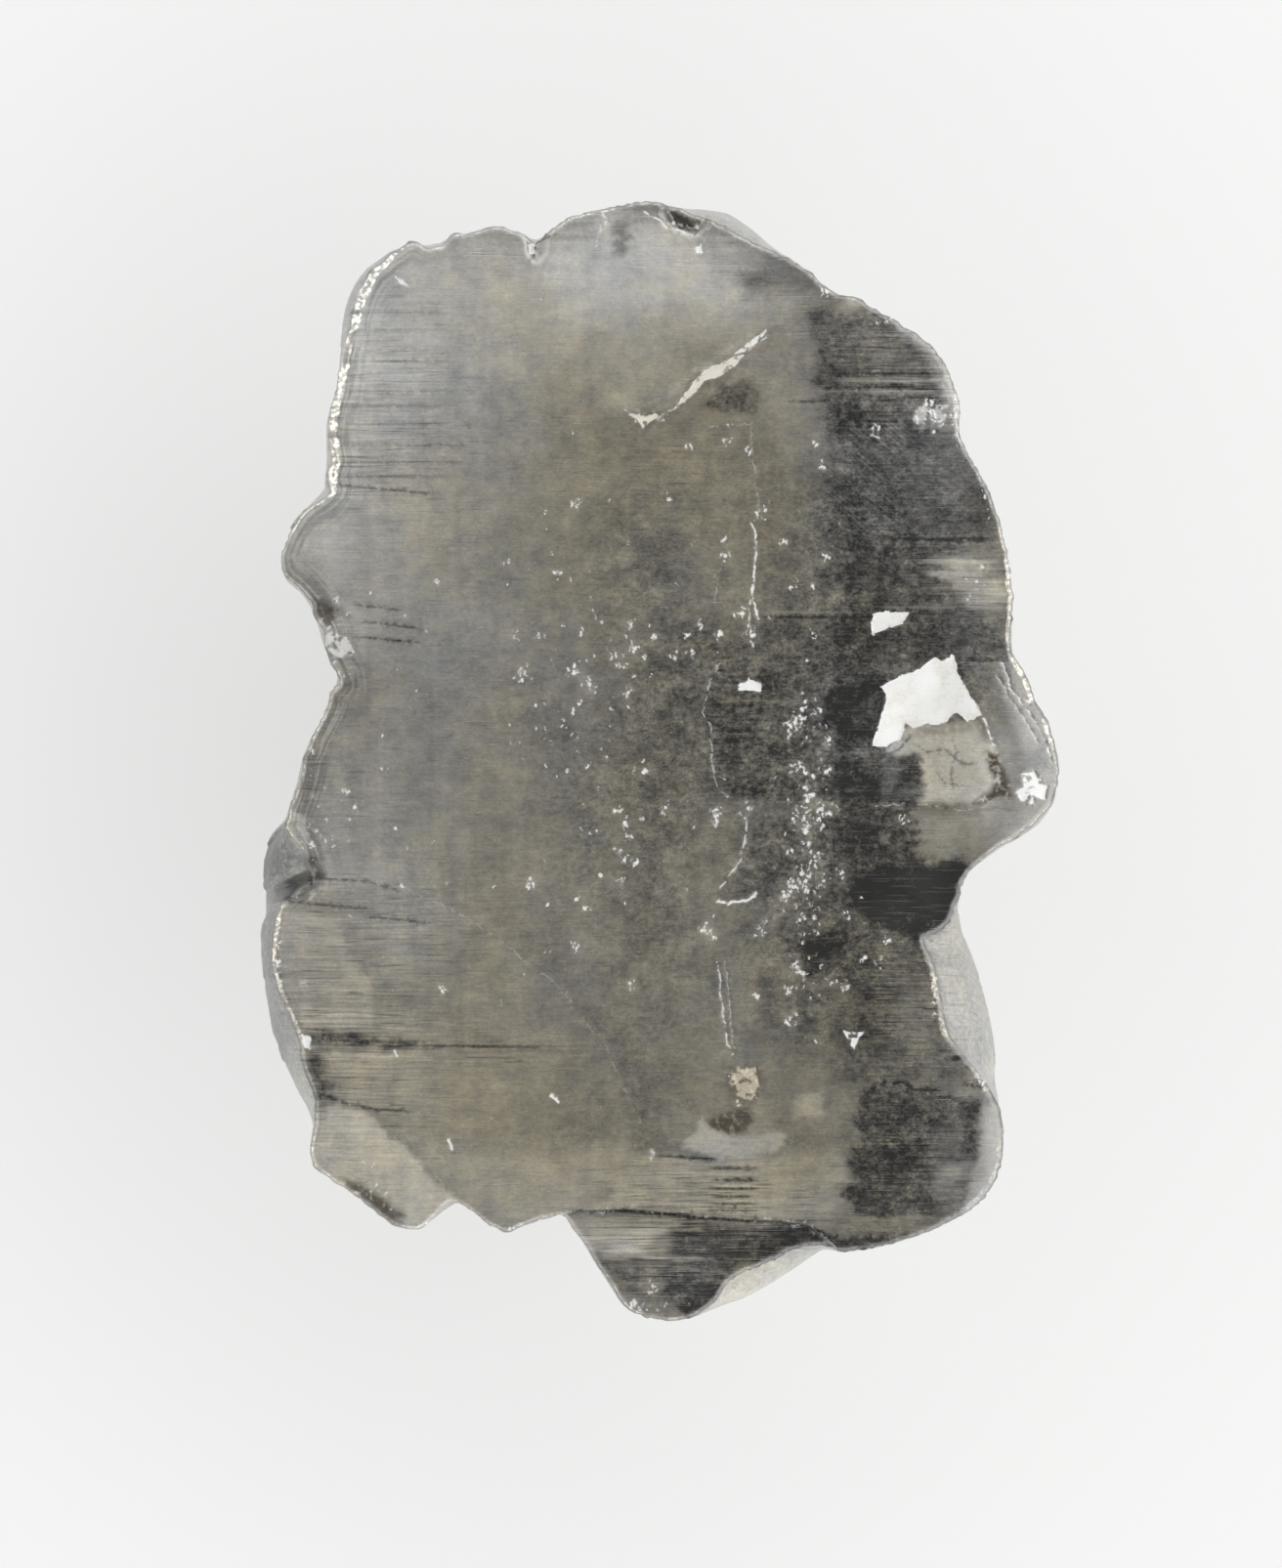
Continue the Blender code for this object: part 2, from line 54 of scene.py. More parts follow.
# The stone's outline. A rough diamond grew as a stack of thin layers that stand across it, and
# their uneven ends make the sharp rim of its broad face. Sizes are in millimetres, seen from above.
MM = 0.001
MIDDLE = (0.15, 0.0)
RIM = [
    (-0.15, 5.76), (-0.43, 5.71), (-0.63, 5.67), (-0.85, 5.62), (-1.05, 5.53), (-1.17, 5.42),
    (-1.28, 5.34), (-1.38, 5.41), (-1.53, 5.48), (-1.72, 5.51), (-1.90, 5.45), (-2.13, 5.42),
    (-2.25, 5.31), (-2.39, 5.28), (-2.50, 5.35), (-2.65, 5.31), (-2.82, 5.18), (-2.98, 5.04),
    (-3.09, 4.85), (-3.17, 4.62), (-3.21, 4.42), (-3.28, 4.15), (-3.32, 3.88), (-3.39, 3.60),
    (-3.41, 3.35), (-3.39, 3.12), (-3.43, 2.87), (-3.39, 2.78), (-3.53, 2.69), (-3.67, 2.59),
    (-3.78, 2.44), (-3.86, 2.27), (-3.90, 2.10), (-3.86, 1.92), (-3.72, 1.80), (-3.61, 1.66),
    (-3.54, 1.48), (-3.45, 1.31), (-3.45, 1.17), (-3.38, 1.00), (-3.29, 0.83), (-3.38, 0.72),
    (-3.44, 0.52), (-3.57, 0.28), (-3.67, 0.05), (-3.72, -0.20), (-3.81, -0.45), (-3.86, -0.68),
    (-3.77, -0.82), (-3.67, -1.02), (-3.60, -1.18), (-3.74, -1.32), (-3.91, -1.45), (-3.96, -1.68),
    (-4.00, -1.95), (-3.98, -2.20), (-3.90, -2.42), (-3.80, -2.65), (-3.72, -2.82), (-3.69, -3.05),
    (-3.62, -3.28), (-3.55, -3.50), (-3.55, -3.75), (-3.60, -4.02), (-3.54, -4.18), (-3.35, -4.31),
    (-3.10, -4.48), (-2.87, -4.66), (-2.72, -4.77), (-2.58, -4.80), (-2.44, -4.79), (-2.32, -4.68),
    (-2.17, -4.53), (-2.05, -4.54), (-1.88, -4.65), (-1.72, -4.78), (-1.60, -4.84), (-1.43, -4.78),
    (-1.23, -4.71), (-1.02, -4.66), (-0.90, -4.80), (-0.77, -4.95), (-0.68, -5.12), (-0.55, -5.32),
    (-0.43, -5.50), (-0.32, -5.63), (-0.13, -5.71), (0.10, -5.75), (0.30, -5.73), (0.45, -5.65),
    (0.60, -5.52), (0.73, -5.33), (0.93, -5.22), (1.15, -5.14), (1.31, -5.05), (1.48, -4.99),
    (1.67, -4.98), (1.87, -5.03), (2.15, -5.00), (2.43, -4.94), (2.70, -4.85), (2.95, -4.74),
    (3.17, -4.63), (3.33, -4.50), (3.46, -4.30), (3.53, -4.05), (3.54, -3.80), (3.51, -3.58),
    (3.43, -3.42), (3.33, -3.26), (3.15, -3.04), (2.99, -2.83), (2.95, -2.72), (2.92, -2.55),
    (2.87, -2.30), (2.82, -2.08), (2.73, -1.88), (2.72, -1.80), (2.87, -1.75), (2.99, -1.64),
    (3.07, -1.45), (3.12, -1.25), (3.18, -1.13), (3.30, -1.03), (3.45, -0.92), (3.67, -0.78),
    (3.87, -0.63), (4.03, -0.46), (4.11, -0.26), (4.12, -0.02), (4.08, 0.18), (4.01, 0.38),
    (3.91, 0.58), (3.81, 0.80), (3.73, 0.98), (3.64, 1.12), (3.61, 1.30), (3.63, 1.50),
    (3.64, 1.72), (3.61, 1.95), (3.58, 2.18), (3.52, 2.40), (3.45, 2.63), (3.37, 2.84),
    (3.28, 3.00), (3.17, 3.18), (3.10, 3.33), (3.07, 3.44), (3.09, 3.62), (3.05, 3.82),
    (2.97, 4.02), (2.85, 4.22), (2.68, 4.38), (2.45, 4.52), (2.25, 4.63), (2.05, 4.76),
    (1.87, 4.80), (1.78, 4.82), (1.68, 4.91), (1.51, 5.06), (1.33, 5.18), (1.13, 5.27),
    (0.90, 5.37), (0.67, 5.50), (0.47, 5.59), (0.29, 5.66), (0.09, 5.73),
]

# The girdle is the stone's widest section, 1.3 mm under the face. The pale body shows past the
# rim there.
GIRDLE = [
    (-0.15, 5.77), (-0.45, 5.73), (-0.75, 5.67), (-1.03, 5.56), (-1.27, 5.40), (-1.70, 5.53),
    (-1.95, 5.47), (-2.20, 5.40), (-2.40, 5.36), (-2.75, 5.30), (-2.95, 5.18), (-3.12, 5.03),
    (-3.23, 4.83), (-3.29, 4.58), (-3.33, 4.08), (-3.37, 3.80), (-3.44, 3.55), (-3.44, 3.20),
    (-3.46, 2.85), (-3.59, 2.68), (-3.77, 2.50), (-3.89, 2.27), (-3.92, 2.05), (-3.86, 1.88),
    (-3.70, 1.74), (-3.57, 1.52), (-3.48, 1.25), (-3.37, 0.90), (-3.43, 0.70), (-3.55, 0.38),
    (-3.69, 0.08), (-3.77, -0.25), (-3.87, -0.58), (-4.03, -0.76), (-4.12, -1.00), (-4.13, -1.30),
    (-4.13, -1.65), (-4.11, -2.05), (-4.07, -2.40), (-4.00, -2.80), (-3.91, -3.10), (-3.79, -3.35),
    (-3.67, -3.55), (-3.59, -3.75), (-3.62, -4.02), (-3.57, -4.20), (-3.30, -4.37), (-3.00, -4.58),
    (-2.73, -4.79), (-2.45, -4.81), (-2.20, -4.63), (-2.05, -4.56), (-1.85, -4.68), (-1.60, -4.85),
    (-1.30, -4.75), (-1.02, -4.68), (-0.83, -4.90), (-0.68, -5.14), (-0.45, -5.50), (-0.30, -5.65),
    (0.10, -5.76), (0.40, -5.71), (0.65, -5.61), (0.90, -5.52), (1.20, -5.35), (1.45, -5.19),
    (1.68, -5.04), (1.90, -5.05), (2.25, -5.01), (2.70, -4.88), (3.10, -4.70), (3.35, -4.50),
    (3.50, -4.23), (3.55, -3.90), (3.52, -3.58), (3.48, -3.30), (3.47, -2.95), (3.41, -2.60),
    (3.33, -2.30), (3.25, -2.05), (3.15, -1.80), (3.13, -1.58), (3.17, -1.30), (3.25, -1.13),
    (3.45, -0.97), (3.70, -0.80), (3.93, -0.63), (4.08, -0.42), (4.13, -0.15), (4.11, 0.15),
    (4.03, 0.42), (3.89, 0.70), (3.76, 0.95), (3.65, 1.14), (3.64, 1.40), (3.66, 1.70),
    (3.62, 2.05), (3.54, 2.40), (3.41, 2.78), (3.25, 3.08), (3.11, 3.35), (3.10, 3.62),
    (3.03, 3.95), (2.88, 4.22), (2.65, 4.42), (2.30, 4.62), (2.00, 4.78), (1.83, 4.83),
    (1.65, 4.96), (1.40, 5.16), (1.15, 5.34), (0.93, 5.52), (0.70, 5.66), (0.45, 5.70),
    (0.25, 5.71), (0.05, 5.75),
]

RIM_STEP = 0.036
SPLINE_SHARE = 0.6

# Growth layers end unevenly along the rim, and its edge is a little ragged
END_SET_BACK = 0.020
END_PITCH = 0.10
RAGGEDNESS = 0.008
RAGGED_SIZES = ((0.23, 6), (0.09, 16))


def finer(outline, step):
    """The outline with points about a step apart, between straight edges and a smooth curve."""
    points = np.array(outline)
    before, after, beyond = (np.roll(points, shift, axis=0) for shift in (1, -1, -2))
    fine = []
    for p0, p1, p2, p3 in zip(before, points, after, beyond):
        pieces = max(1, round(np.linalg.norm(p2 - p1) / step))
        for share in np.arange(pieces) / pieces:
            straight = p1 + (p2 - p1) * share
            curve = p1 + 0.5 * share * (p2 - p0 + share * (
                2.0 * p0 - 5.0 * p1 + 4.0 * p2 - p3 + share * (3.0 * (p1 - p2) + p3 - p0)))
            fine.append(straight + SPLINE_SHARE * (curve - straight))
    return np.array(fine)


def polar(points):
    """The compass angle and the reach of each point, seen from the middle."""
    rel = np.asarray(points) - MIDDLE
    return np.unwrap(np.arctan2(rel[:, 1], rel[:, 0])), np.hypot(rel[:, 0], rel[:, 1])


def waves(points, size, seed):
    """A gentle unevenness between about -1 and 1, from a few crossing waves of one size."""
    angles = np.random.default_rng(seed).uniform(0.0, 2.0 * math.pi, (6, 2))
    total = np.zeros(len(points))
    for heading, phase in angles:
        along = points[:, 0] * math.cos(heading) + points[:, 1] * math.sin(heading)
        total += np.sin(2.0 * math.pi * along / size + phase)
    return total / 3.0


def smooth(share):
    """An even S from 0 to 1."""
    share = np.clip(share, 0.0, 1.0)
    return share * share * (3.0 - 2.0 * share)


def layer_ends(along, pitch, seed):
    """A value from 0 to 1 for the growth layer that each place along Y is in."""
    rng = np.random.default_rng(seed)
    widths = rng.uniform(0.5 * pitch, 1.5 * pitch, 600)
    starts = np.cumsum(widths) - 14.0
    values = rng.uniform(0.0, 1.0, 601)
    return values[np.searchsorted(starts, along) % 600]


rim_plan = finer(RIM, RIM_STEP)
rim_angle, rim_reach = polar(rim_plan)
rim_angle = np.maximum.accumulate(rim_angle + np.arange(len(rim_angle)) * 1e-7)
rim_reach -= END_SET_BACK * np.abs(np.cos(rim_angle)) * layer_ends(rim_plan[:, 1], END_PITCH, 5)
for size, seed in RAGGED_SIZES:
    rim_reach -= RAGGEDNESS * (1.0 + waves(rim_plan, size, seed))
rim_heading = np.column_stack([np.cos(rim_angle), np.sin(rim_angle)])
rim_plan = MIDDLE + rim_reach[:, None] * rim_heading

# The broad face is a worn cleavage, flat but for steps, pits and bulges. Each sunken form has its
# depth, the width of the slope down from its outline, and the outline.
FACE_Z = 4.2
GIRDLE_Z = 2.9
RIM_FALL = 0.025
RIM_FALL_WIDTH = 0.045
SLOW_FALL = 0.07
SLOW_FALL_WIDTH = 0.75
UNEVENNESS = 0.03
UNEVENNESS_SIZE = 1.9
FACE_LAYERS = ((0.0015, 0.07, 8), (0.0040, 0.31, 10))
SUNKEN_FORMS = {
    "lower step": (0.34, 0.03, [
        (-1.05, -4.62), (-0.35, -4.56), (0.25, -4.61), (0.85, -4.66), (1.50, -4.72), (1.80, -4.95),
        (1.95, -5.40), (0.80, -6.30), (-0.90, -6.30), (-1.30, -5.20)]),
    "bright pit": (0.07, 0.35, [
        (2.18, 0.15), (2.24, 0.50), (2.32, 0.80), (2.55, 0.90), (2.80, 1.08), (3.04, 1.09),
        (3.20, 0.70), (3.42, 0.15), (3.60, -0.35), (3.27, -0.48), (2.70, -0.47), (2.23, -0.50)]),
    "right bulge": (0.32, 0.95, [
        (3.52, 1.40), (3.40, 1.05), (3.48, 0.55), (3.66, 0.05), (3.72, -0.35), (3.40, -0.70),
        (3.20, -1.60), (5.00, -1.60), (5.00, 1.40)]),
    "left bulge": (0.18, 1.25, [
        (-3.30, 3.00), (-2.95, 2.70), (-2.85, 2.10), (-3.00, 1.60), (-3.25, 1.35), (-5.20, 1.00),
        (-5.20, 3.40)]),
    "crumbled corner": (0.02, 0.22, [
        (-3.25, 1.75), (-2.98, 1.55), (-2.92, 1.20), (-3.05, 0.85), (-3.25, 0.62), (-3.90, 0.50),
        (-4.20, 1.30), (-3.80, 1.90)]),
    "left facet": (0.55, 0.42, [
        (-3.62, -0.52), (-3.58, -0.95), (-3.66, -1.25), (-3.80, -1.50), (-4.60, -1.70),
        (-4.60, -0.30)]),
    "left cavity": (0.28, 0.05, [
        (-3.72, -1.14), (-3.56, -1.12), (-3.50, -1.26), (-3.60, -1.42), (-3.90, -1.44),
        (-3.95, -1.20)]),
    "dark lobe": (0.006, 0.12, [
        (1.95, -1.25), (2.10, -1.05), (2.45, -0.97), (2.80, -1.00), (3.60, -0.95), (3.60, -1.90),
        (2.70, -2.00), (2.40, -1.88), (2.12, -1.72), (1.97, -1.50)]),
    "top chip": (0.30, 0.08, [
        (0.00, 5.62), (0.12, 5.46), (0.35, 5.38), (0.52, 5.48), (0.62, 5.90), (0.02, 6.10)]),
    "top notch": (0.10, 0.12, [
        (-1.42, 5.50), (-1.38, 5.20), (-1.27, 5.05), (-1.15, 5.18), (-1.08, 5.50)]),
    "feather scar": (0.02, 0.06, [
        (-0.38, 3.62), (-0.14, 3.53), (0.16, 3.64), (0.42, 3.88), (0.72, 4.08), (1.02, 4.34),
        (0.96, 4.42), (0.62, 4.20), (0.34, 4.02), (0.08, 3.78), (-0.16, 3.68), (-0.36, 3.72)]),
    "right end": (0.22, 0.62, [
        (3.26, -3.02), (3.24, -3.60), (3.20, -4.20), (2.96, -4.60), (3.30, -5.10), (4.40, -4.60),
        (4.40, -2.80)]),
    "upper right fall": (0.14, 0.50, [
        (3.36, 2.95), (2.98, 3.25), (2.86, 3.70), (2.66, 4.12), (2.30, 4.42), (2.60, 4.90),
        (3.80, 4.40), (4.00, 3.00)]),
}

# Narrow grooves where growth layers end on the face: from and to, width and depth
GROOVES = [
    ((-3.90, -1.44), (-3.20, -1.49), 0.030, 0.005),
    ((-3.80, -2.82), (-2.35, -2.90), 0.030, 0.005),
    ((-3.75, -3.42), (-2.15, -3.36), 0.024, 0.005),
    ((2.30, 2.26), (3.75, 2.25), 0.026, 0.005),
    ((1.00, 1.49), (2.15, 1.48), 0.024, 0.005),
    ((3.03, 1.04), (3.75, 1.04), 0.026, 0.005),
    ((1.60, 3.83), (3.20, 3.83), 0.024, 0.005),
    ((1.95, -3.00), (3.00, -3.02), 0.024, 0.005),
    ((2.25, -3.42), (3.70, -3.44), 0.026, 0.005),
]


def line_distance(points, start, end):
    """Each point's distance to a straight line between two places."""
    start, end = np.array(start), np.array(end)
    side = end - start
    share = np.clip((points - start) @ side / (side @ side), 0.0, 1.0)
    return np.linalg.norm(points - start - share[:, None] * side, axis=1)


def edge_distance(points, outline):
    """Each point's distance to a closed outline."""
    nearest = np.full(len(points), np.inf)
    for start, end in zip(outline, np.roll(outline, -1, axis=0)):
        nearest = np.minimum(nearest, line_distance(points, start, end))
    return nearest


def is_inside(points, outline):
    """Whether each point is inside a closed outline, from the edges that a line to +X crosses."""
    inside = np.zeros(len(points), dtype=bool)
    x, y = points[:, 0], points[:, 1]
    for start, end in zip(outline, np.roll(outline, -1, axis=0)):
        spans = (start[1] > y) != (end[1] > y)
        if not spans.any():
            continue
        crossing = start[0] + (y - start[1]) * (end[0] - start[0]) / (end[1] - start[1])
        inside ^= spans & (x < crossing)
    return inside


def depth_inside(points, outline):
    """How far each point is inside an outline, and below 0 outside it."""
    outline = np.array(outline)
    gap = edge_distance(points, outline)
    return np.where(is_inside(points, outline), gap, -gap)


def face_height(points, from_rim):
    """How high the face stands at each point."""
    height = np.full(len(points), FACE_Z)
    height -= RIM_FALL * (1.0 - smooth(from_rim / RIM_FALL_WIDTH))
    height -= SLOW_FALL * (1.0 - smooth(from_rim / SLOW_FALL_WIDTH))
    height -= UNEVENNESS * smooth(0.5 + 0.5 * waves(points, UNEVENNESS_SIZE, 3))
    for depth, slope_width, outline in SUNKEN_FORMS.values():
        height -= depth * smooth(depth_inside(points, outline) / slope_width)
    for start, end, width, depth in GROOVES:
        height -= depth * (1.0 - smooth(line_distance(points, start, end) / width))
    for step, pitch, seed in FACE_LAYERS:
        height -= step * layer_ends(points[:, 1], pitch, seed)
    return height


# The walls flare out from the rim to the girdle and then run in to the flat that the stone rests
# on. Growth layers end on them in ribs. Flat facets cut them, each with its compass angle, its lean,
# and the height and reach of a place on it. The last one bevels the face.
UPPER_RINGS = [(0.00, 0.00), (0.25, 0.45), (0.60, 0.80), (1.00, 1.00)]
LOWER_RINGS = [
    (0.0, 0.660), (0.35, 0.750), (0.80, 0.830), (1.30, 0.895), (1.85, 0.950), (2.40, 0.985),
    (2.90, 1.0)]
LAYER_PITCH = 0.46
LAYER_LEAN = 0.30
LAYER_COUNT = 64
RIB_DEPTH = 0.085
FINE_RIB_DEPTH = 0.010
FINE_RIB_PITCH = 0.09
FINE_RIB_FADE = 0.3
WALL_WAVE = 0.006
WALL_WAVE_SIZE = 0.9
WALL_WAVE_TURN = 3.7
REST_Z = 0.0
FACETS = [
    (6.0, 36.0, REST_Z, 2.20),
    (44.0, 45.0, REST_Z, 2.45),
    (82.0, 31.0, REST_Z, 4.05),
    (118.0, 40.0, REST_Z, 3.20),
    (163.0, 34.0, REST_Z, 2.45),
    (203.0, 46.0, REST_Z, 1.90),
    (238.0, 38.0, REST_Z, 3.15),
    (276.0, 30.0, REST_Z, 4.05),
    (318.0, 43.0, REST_Z, 2.60),
    (168.3, -48.0, FACE_Z, 4.09),
]

UPPER_ROWS = 12
LOWER_ROWS = 17
girdle_angle, girdle_reach = polar(finer(GIRDLE, RIM_STEP))


def rib(along, height):
    """How far the wall stands back where one growth layer ends short."""
    layer = np.floor((along + LAYER_LEAN * (FACE_Z - height)) / LAYER_PITCH).astype(int)
    set_back = np.random.default_rng(11).uniform(0.0, 1.0, LAYER_COUNT)
    return RIB_DEPTH * set_back[layer % LAYER_COUNT]


def facet_limit(heights):
    """How far out the facets let the wall reach along each column's heading."""
    limit = np.full(len(rim_heading), np.inf)
    for angle, tilt, height, reach in FACETS:
        turn, lean = math.radians(angle), math.radians(tilt)
        facing = rim_heading @ np.array([math.cos(turn), math.sin(turn)]) * math.cos(lean)
        room = reach * math.cos(lean) + (heights - height) * math.sin(lean)
        cut = np.where(facing > 0.02, room / np.maximum(facing, 0.02), np.inf)
        limit = np.minimum(limit, cut)
    return limit


def wall_ring(heights, share_out, scale):
    """The wall's points at one height, or at each column's own, one under each rim point."""
    girdle = np.interp(rim_angle, girdle_angle, girdle_reach, period=2.0 * math.pi)
    reach = ((1.0 - share_out) * rim_reach + share_out * girdle) * scale
    below_face = smooth(FACE_Z - heights)
    sideways = np.abs(rim_heading[:, 0])
    along = reach * rim_heading[:, 1]
    reach -= rib(along, heights) * sideways * below_face
    fine = layer_ends(along + LAYER_LEAN * (FACE_Z - heights), FINE_RIB_PITCH, 21)
    reach -= FINE_RIB_DEPTH * fine * sideways * smooth((FACE_Z - heights) / FINE_RIB_FADE)
    reach = np.minimum(reach, facet_limit(heights))
    around = np.column_stack([rim_angle * WALL_WAVE_TURN, heights])
    uneven = 1.0 + waves(around, WALL_WAVE_SIZE, 23)
    reach -= WALL_WAVE * uneven * below_face * (heights > 0.01)
    plan = MIDDLE + reach[:, None] * rim_heading
    return np.column_stack([plan, heights])


# The crystal's clouds and painted shade. It is milky at its upper left and olive in its middle, and
# the dark on its right is painted shade, where facets underneath send no light back. A wash is a
# place, its reach across and along, and how much lighter or warmer it is there, on a scale of tones
# from 0 for black to 1 for white.
PLAIN_TONE = 0.43
TONE_WASHES = [
    (-2.60, 4.30, 1.50, 1.70, 0.20), (-0.40, 4.60, 1.20, 0.80, 0.10), (-3.30, 2.20, 0.90, 0.90, 0.04),
    (-2.10, 2.20, 1.10, 1.60, 0.07), (-3.40, 0.90, 0.60, 0.80, 0.12),
    (-3.40, -1.60, 0.70, 1.30, 0.07), (-2.30, -1.00, 1.30, 1.50, 0.03),
    (-1.40, -4.30, 0.80, 0.60, 0.10), (1.50, -4.10, 0.70, 0.80, 0.10), (1.40, 3.90, 0.35, 1.20, 0.06),
    (0.50, 0.50, 0.90, 1.50, -0.06), (1.10, -0.20, 0.60, 2.20, -0.07),
    (2.50, 1.80, 0.90, 3.00, -0.12), (2.40, -1.60, 0.90, 2.30, -0.09),
    (0.20, 2.00, 0.80, 0.80, -0.03), (-3.05, 4.10, 0.35, 1.00, 0.08), (-1.90, 5.20, 1.00, 0.35, 0.04),
    (-2.00, 3.50, 0.45, 1.00, -0.04), (-1.40, 2.20, 1.20, 0.70, -0.045),
    (-3.50, 2.00, 0.45, 0.50, -0.08), (-3.25, 0.82, 0.35, 0.35, -0.12),
    (-2.95, 0.80, 0.40, 0.50, -0.05), (0.65, 1.80, 0.55, 0.60, 0.055),
    (-0.05, -0.50, 0.50, 2.20, -0.055), (-0.75, -0.60, 0.50, 1.00, -0.04),
    (1.10, -0.45, 0.70, 0.30, 0.05), (-3.10, -1.00, 0.60, 0.80, 0.07),
    (-0.45, -4.00, 0.40, 0.40, -0.05), (0.80, -3.20, 0.50, 0.60, 0.05),
]

# These washes lie over the patches that follow
LATE_WASHES = [
    (1.95, 3.60, 0.30, 0.50, -0.06), (2.95, 3.30, 0.25, 0.50, 0.06), (1.95, 1.60, 0.50, 1.00, -0.03),
    (3.45, 1.80, 0.25, 0.60, 0.05), (3.15, 0.80, 0.35, 0.30, -0.10), (2.40, -0.80, 0.80, 0.50, -0.05),
    (-2.50, -1.90, 0.40, 0.70, 0.05), (-3.00, -3.10, 0.80, 0.45, 0.07),
    (2.65, -2.60, 0.40, 0.60, 0.07), (2.95, -3.95, 0.30, 0.45, 0.13),
    (3.50, -3.80, 0.15, 0.50, -0.05), (1.50, -4.20, 0.40, 0.40, -0.05),
    (-0.30, -5.00, 0.50, 0.35, 0.11), (-0.75, -4.72, 0.30, 0.20, 0.08),
    (0.95, 3.90, 0.30, 0.40, 0.05), (-0.35, 4.30, 0.60, 0.50, 0.04), (-1.05, 5.10, 0.30, 0.40, 0.05),
    (-3.45, 2.30, 0.50, 0.60, 0.10), (-2.40, 1.45, 0.60, 0.50, 0.03), (0.45, 4.15, 0.30, 0.18, -0.06),
    (2.40, 4.10, 0.25, 0.20, 0.05), (-2.40, 3.10, 0.50, 0.50, -0.04),
    (1.85, 2.60, 0.50, 0.30, -0.055), (0.50, 1.05, 0.40, 0.30, -0.045),
    (-1.50, 0.50, 0.50, 0.50, -0.04), (1.55, 0.95, 0.30, 0.25, -0.07),
    (1.30, -2.55, 0.40, 0.40, -0.04), (1.50, 0.15, 0.30, 0.20, -0.06), (2.50, 0.00, 0.20, 0.15, 0.05),
    (3.45, 0.00, 0.20, 0.30, 0.14), (1.50, -1.00, 0.35, 1.60, -0.03), (3.45, -0.45, 0.25, 0.20, 0.12),
    (3.95, 0.05, 0.20, 0.35, -0.11), (0.65, -1.20, 0.35, 0.60, 0.045),
    (1.80, -0.45, 0.60, 0.15, 0.04), (2.80, -1.40, 0.55, 0.30, -0.12),
    (3.20, -0.85, 0.40, 0.20, -0.05), (2.00, -1.90, 0.30, 0.25, -0.04),
    (-2.90, -1.40, 0.50, 0.25, 0.06), (-3.20, -2.40, 0.40, 0.30, -0.05),
    (-1.90, -2.00, 0.40, 0.40, -0.035), (-2.80, -3.50, 0.50, 0.30, 0.045),
    (-3.55, -3.50, 0.15, 0.40, -0.05), (-0.75, -3.60, 0.50, 0.80, -0.045),
    (0.50, -3.85, 0.25, 0.20, 0.04), (1.50, -3.50, 0.40, 0.25, 0.04),
    (2.10, -4.85, 0.60, 0.15, -0.06), (3.35, -3.95, 0.20, 0.50, -0.10),
    (3.10, -4.45, 0.30, 0.18, -0.07), (2.95, -3.95, 0.15, 0.30, 0.05),
    (-2.80, -1.90, 0.50, 0.50, 0.03), (-3.50, -3.40, 0.15, 0.40, -0.05),
    (-3.45, 2.20, 0.40, 0.60, 0.03), (-0.15, -5.45, 0.30, 0.20, 0.05),
]

PLAIN_WARMTH = 0.55
WARM_WASHES = [
    (-2.60, 4.30, 1.50, 1.70, -0.35), (-0.20, 5.20, 1.50, 0.70, -0.35),
    (-3.40, 1.60, 0.90, 1.60, -0.25), (-2.60, 0.20, 0.80, 1.60, -0.20),
    (2.50, 3.40, 0.90, 1.60, -0.35), (1.95, 0.30, 0.50, 0.60, -0.45), (-0.35, 3.40, 1.20, 1.10, 0.50),
    (0.20, -0.60, 1.10, 2.00, 0.10), (-1.20, -3.40, 1.80, 1.00, 0.28),
    (1.20, -3.80, 1.00, 1.00, 0.35), (2.20, -2.20, 0.70, 0.90, 0.50), (1.20, 1.60, 0.50, 1.30, 0.25),
    (-3.00, -4.20, 0.80, 0.70, 0.05), (3.90, -0.20, 0.50, 0.90, -0.30),
    (0.75, -3.95, 0.60, 0.20, -0.55), (-3.85, -0.95, 0.22, 0.25, 0.60),
]

# The face is lined most strongly near its left rim, in its dark parts and on its lower step
PLAIN_LINING = 0.04
LINING_WASHES = [
    (-3.10, 3.60, 0.85, 1.10, 0.60), (2.60, 3.95, 0.80, 0.65, 0.95), (-3.30, -2.80, 0.90, 1.30, 0.80),
    (0.40, -5.00, 1.20, 0.45, 1.60), (0.40, -4.30, 0.90, 0.30, 0.60), (0.80, 0.30, 0.35, 0.70, 0.40),
    (2.50, -2.30, 0.50, 0.80, 0.85), (-3.60, -0.10, 0.40, 0.70, 0.45), (0.00, 3.10, 0.60, 0.40, 0.20),
    (2.60, -4.10, 0.50, 0.50, 0.95), (3.10, 1.80, 0.55, 0.45, 0.60), (-2.40, -1.60, 0.80, 0.35, 0.35),
    (2.70, 2.70, 0.70, 0.60, 0.32), (-3.50, 1.20, 0.40, 0.60, 0.30), (-1.60, -3.00, 1.00, 0.25, 0.30),
]
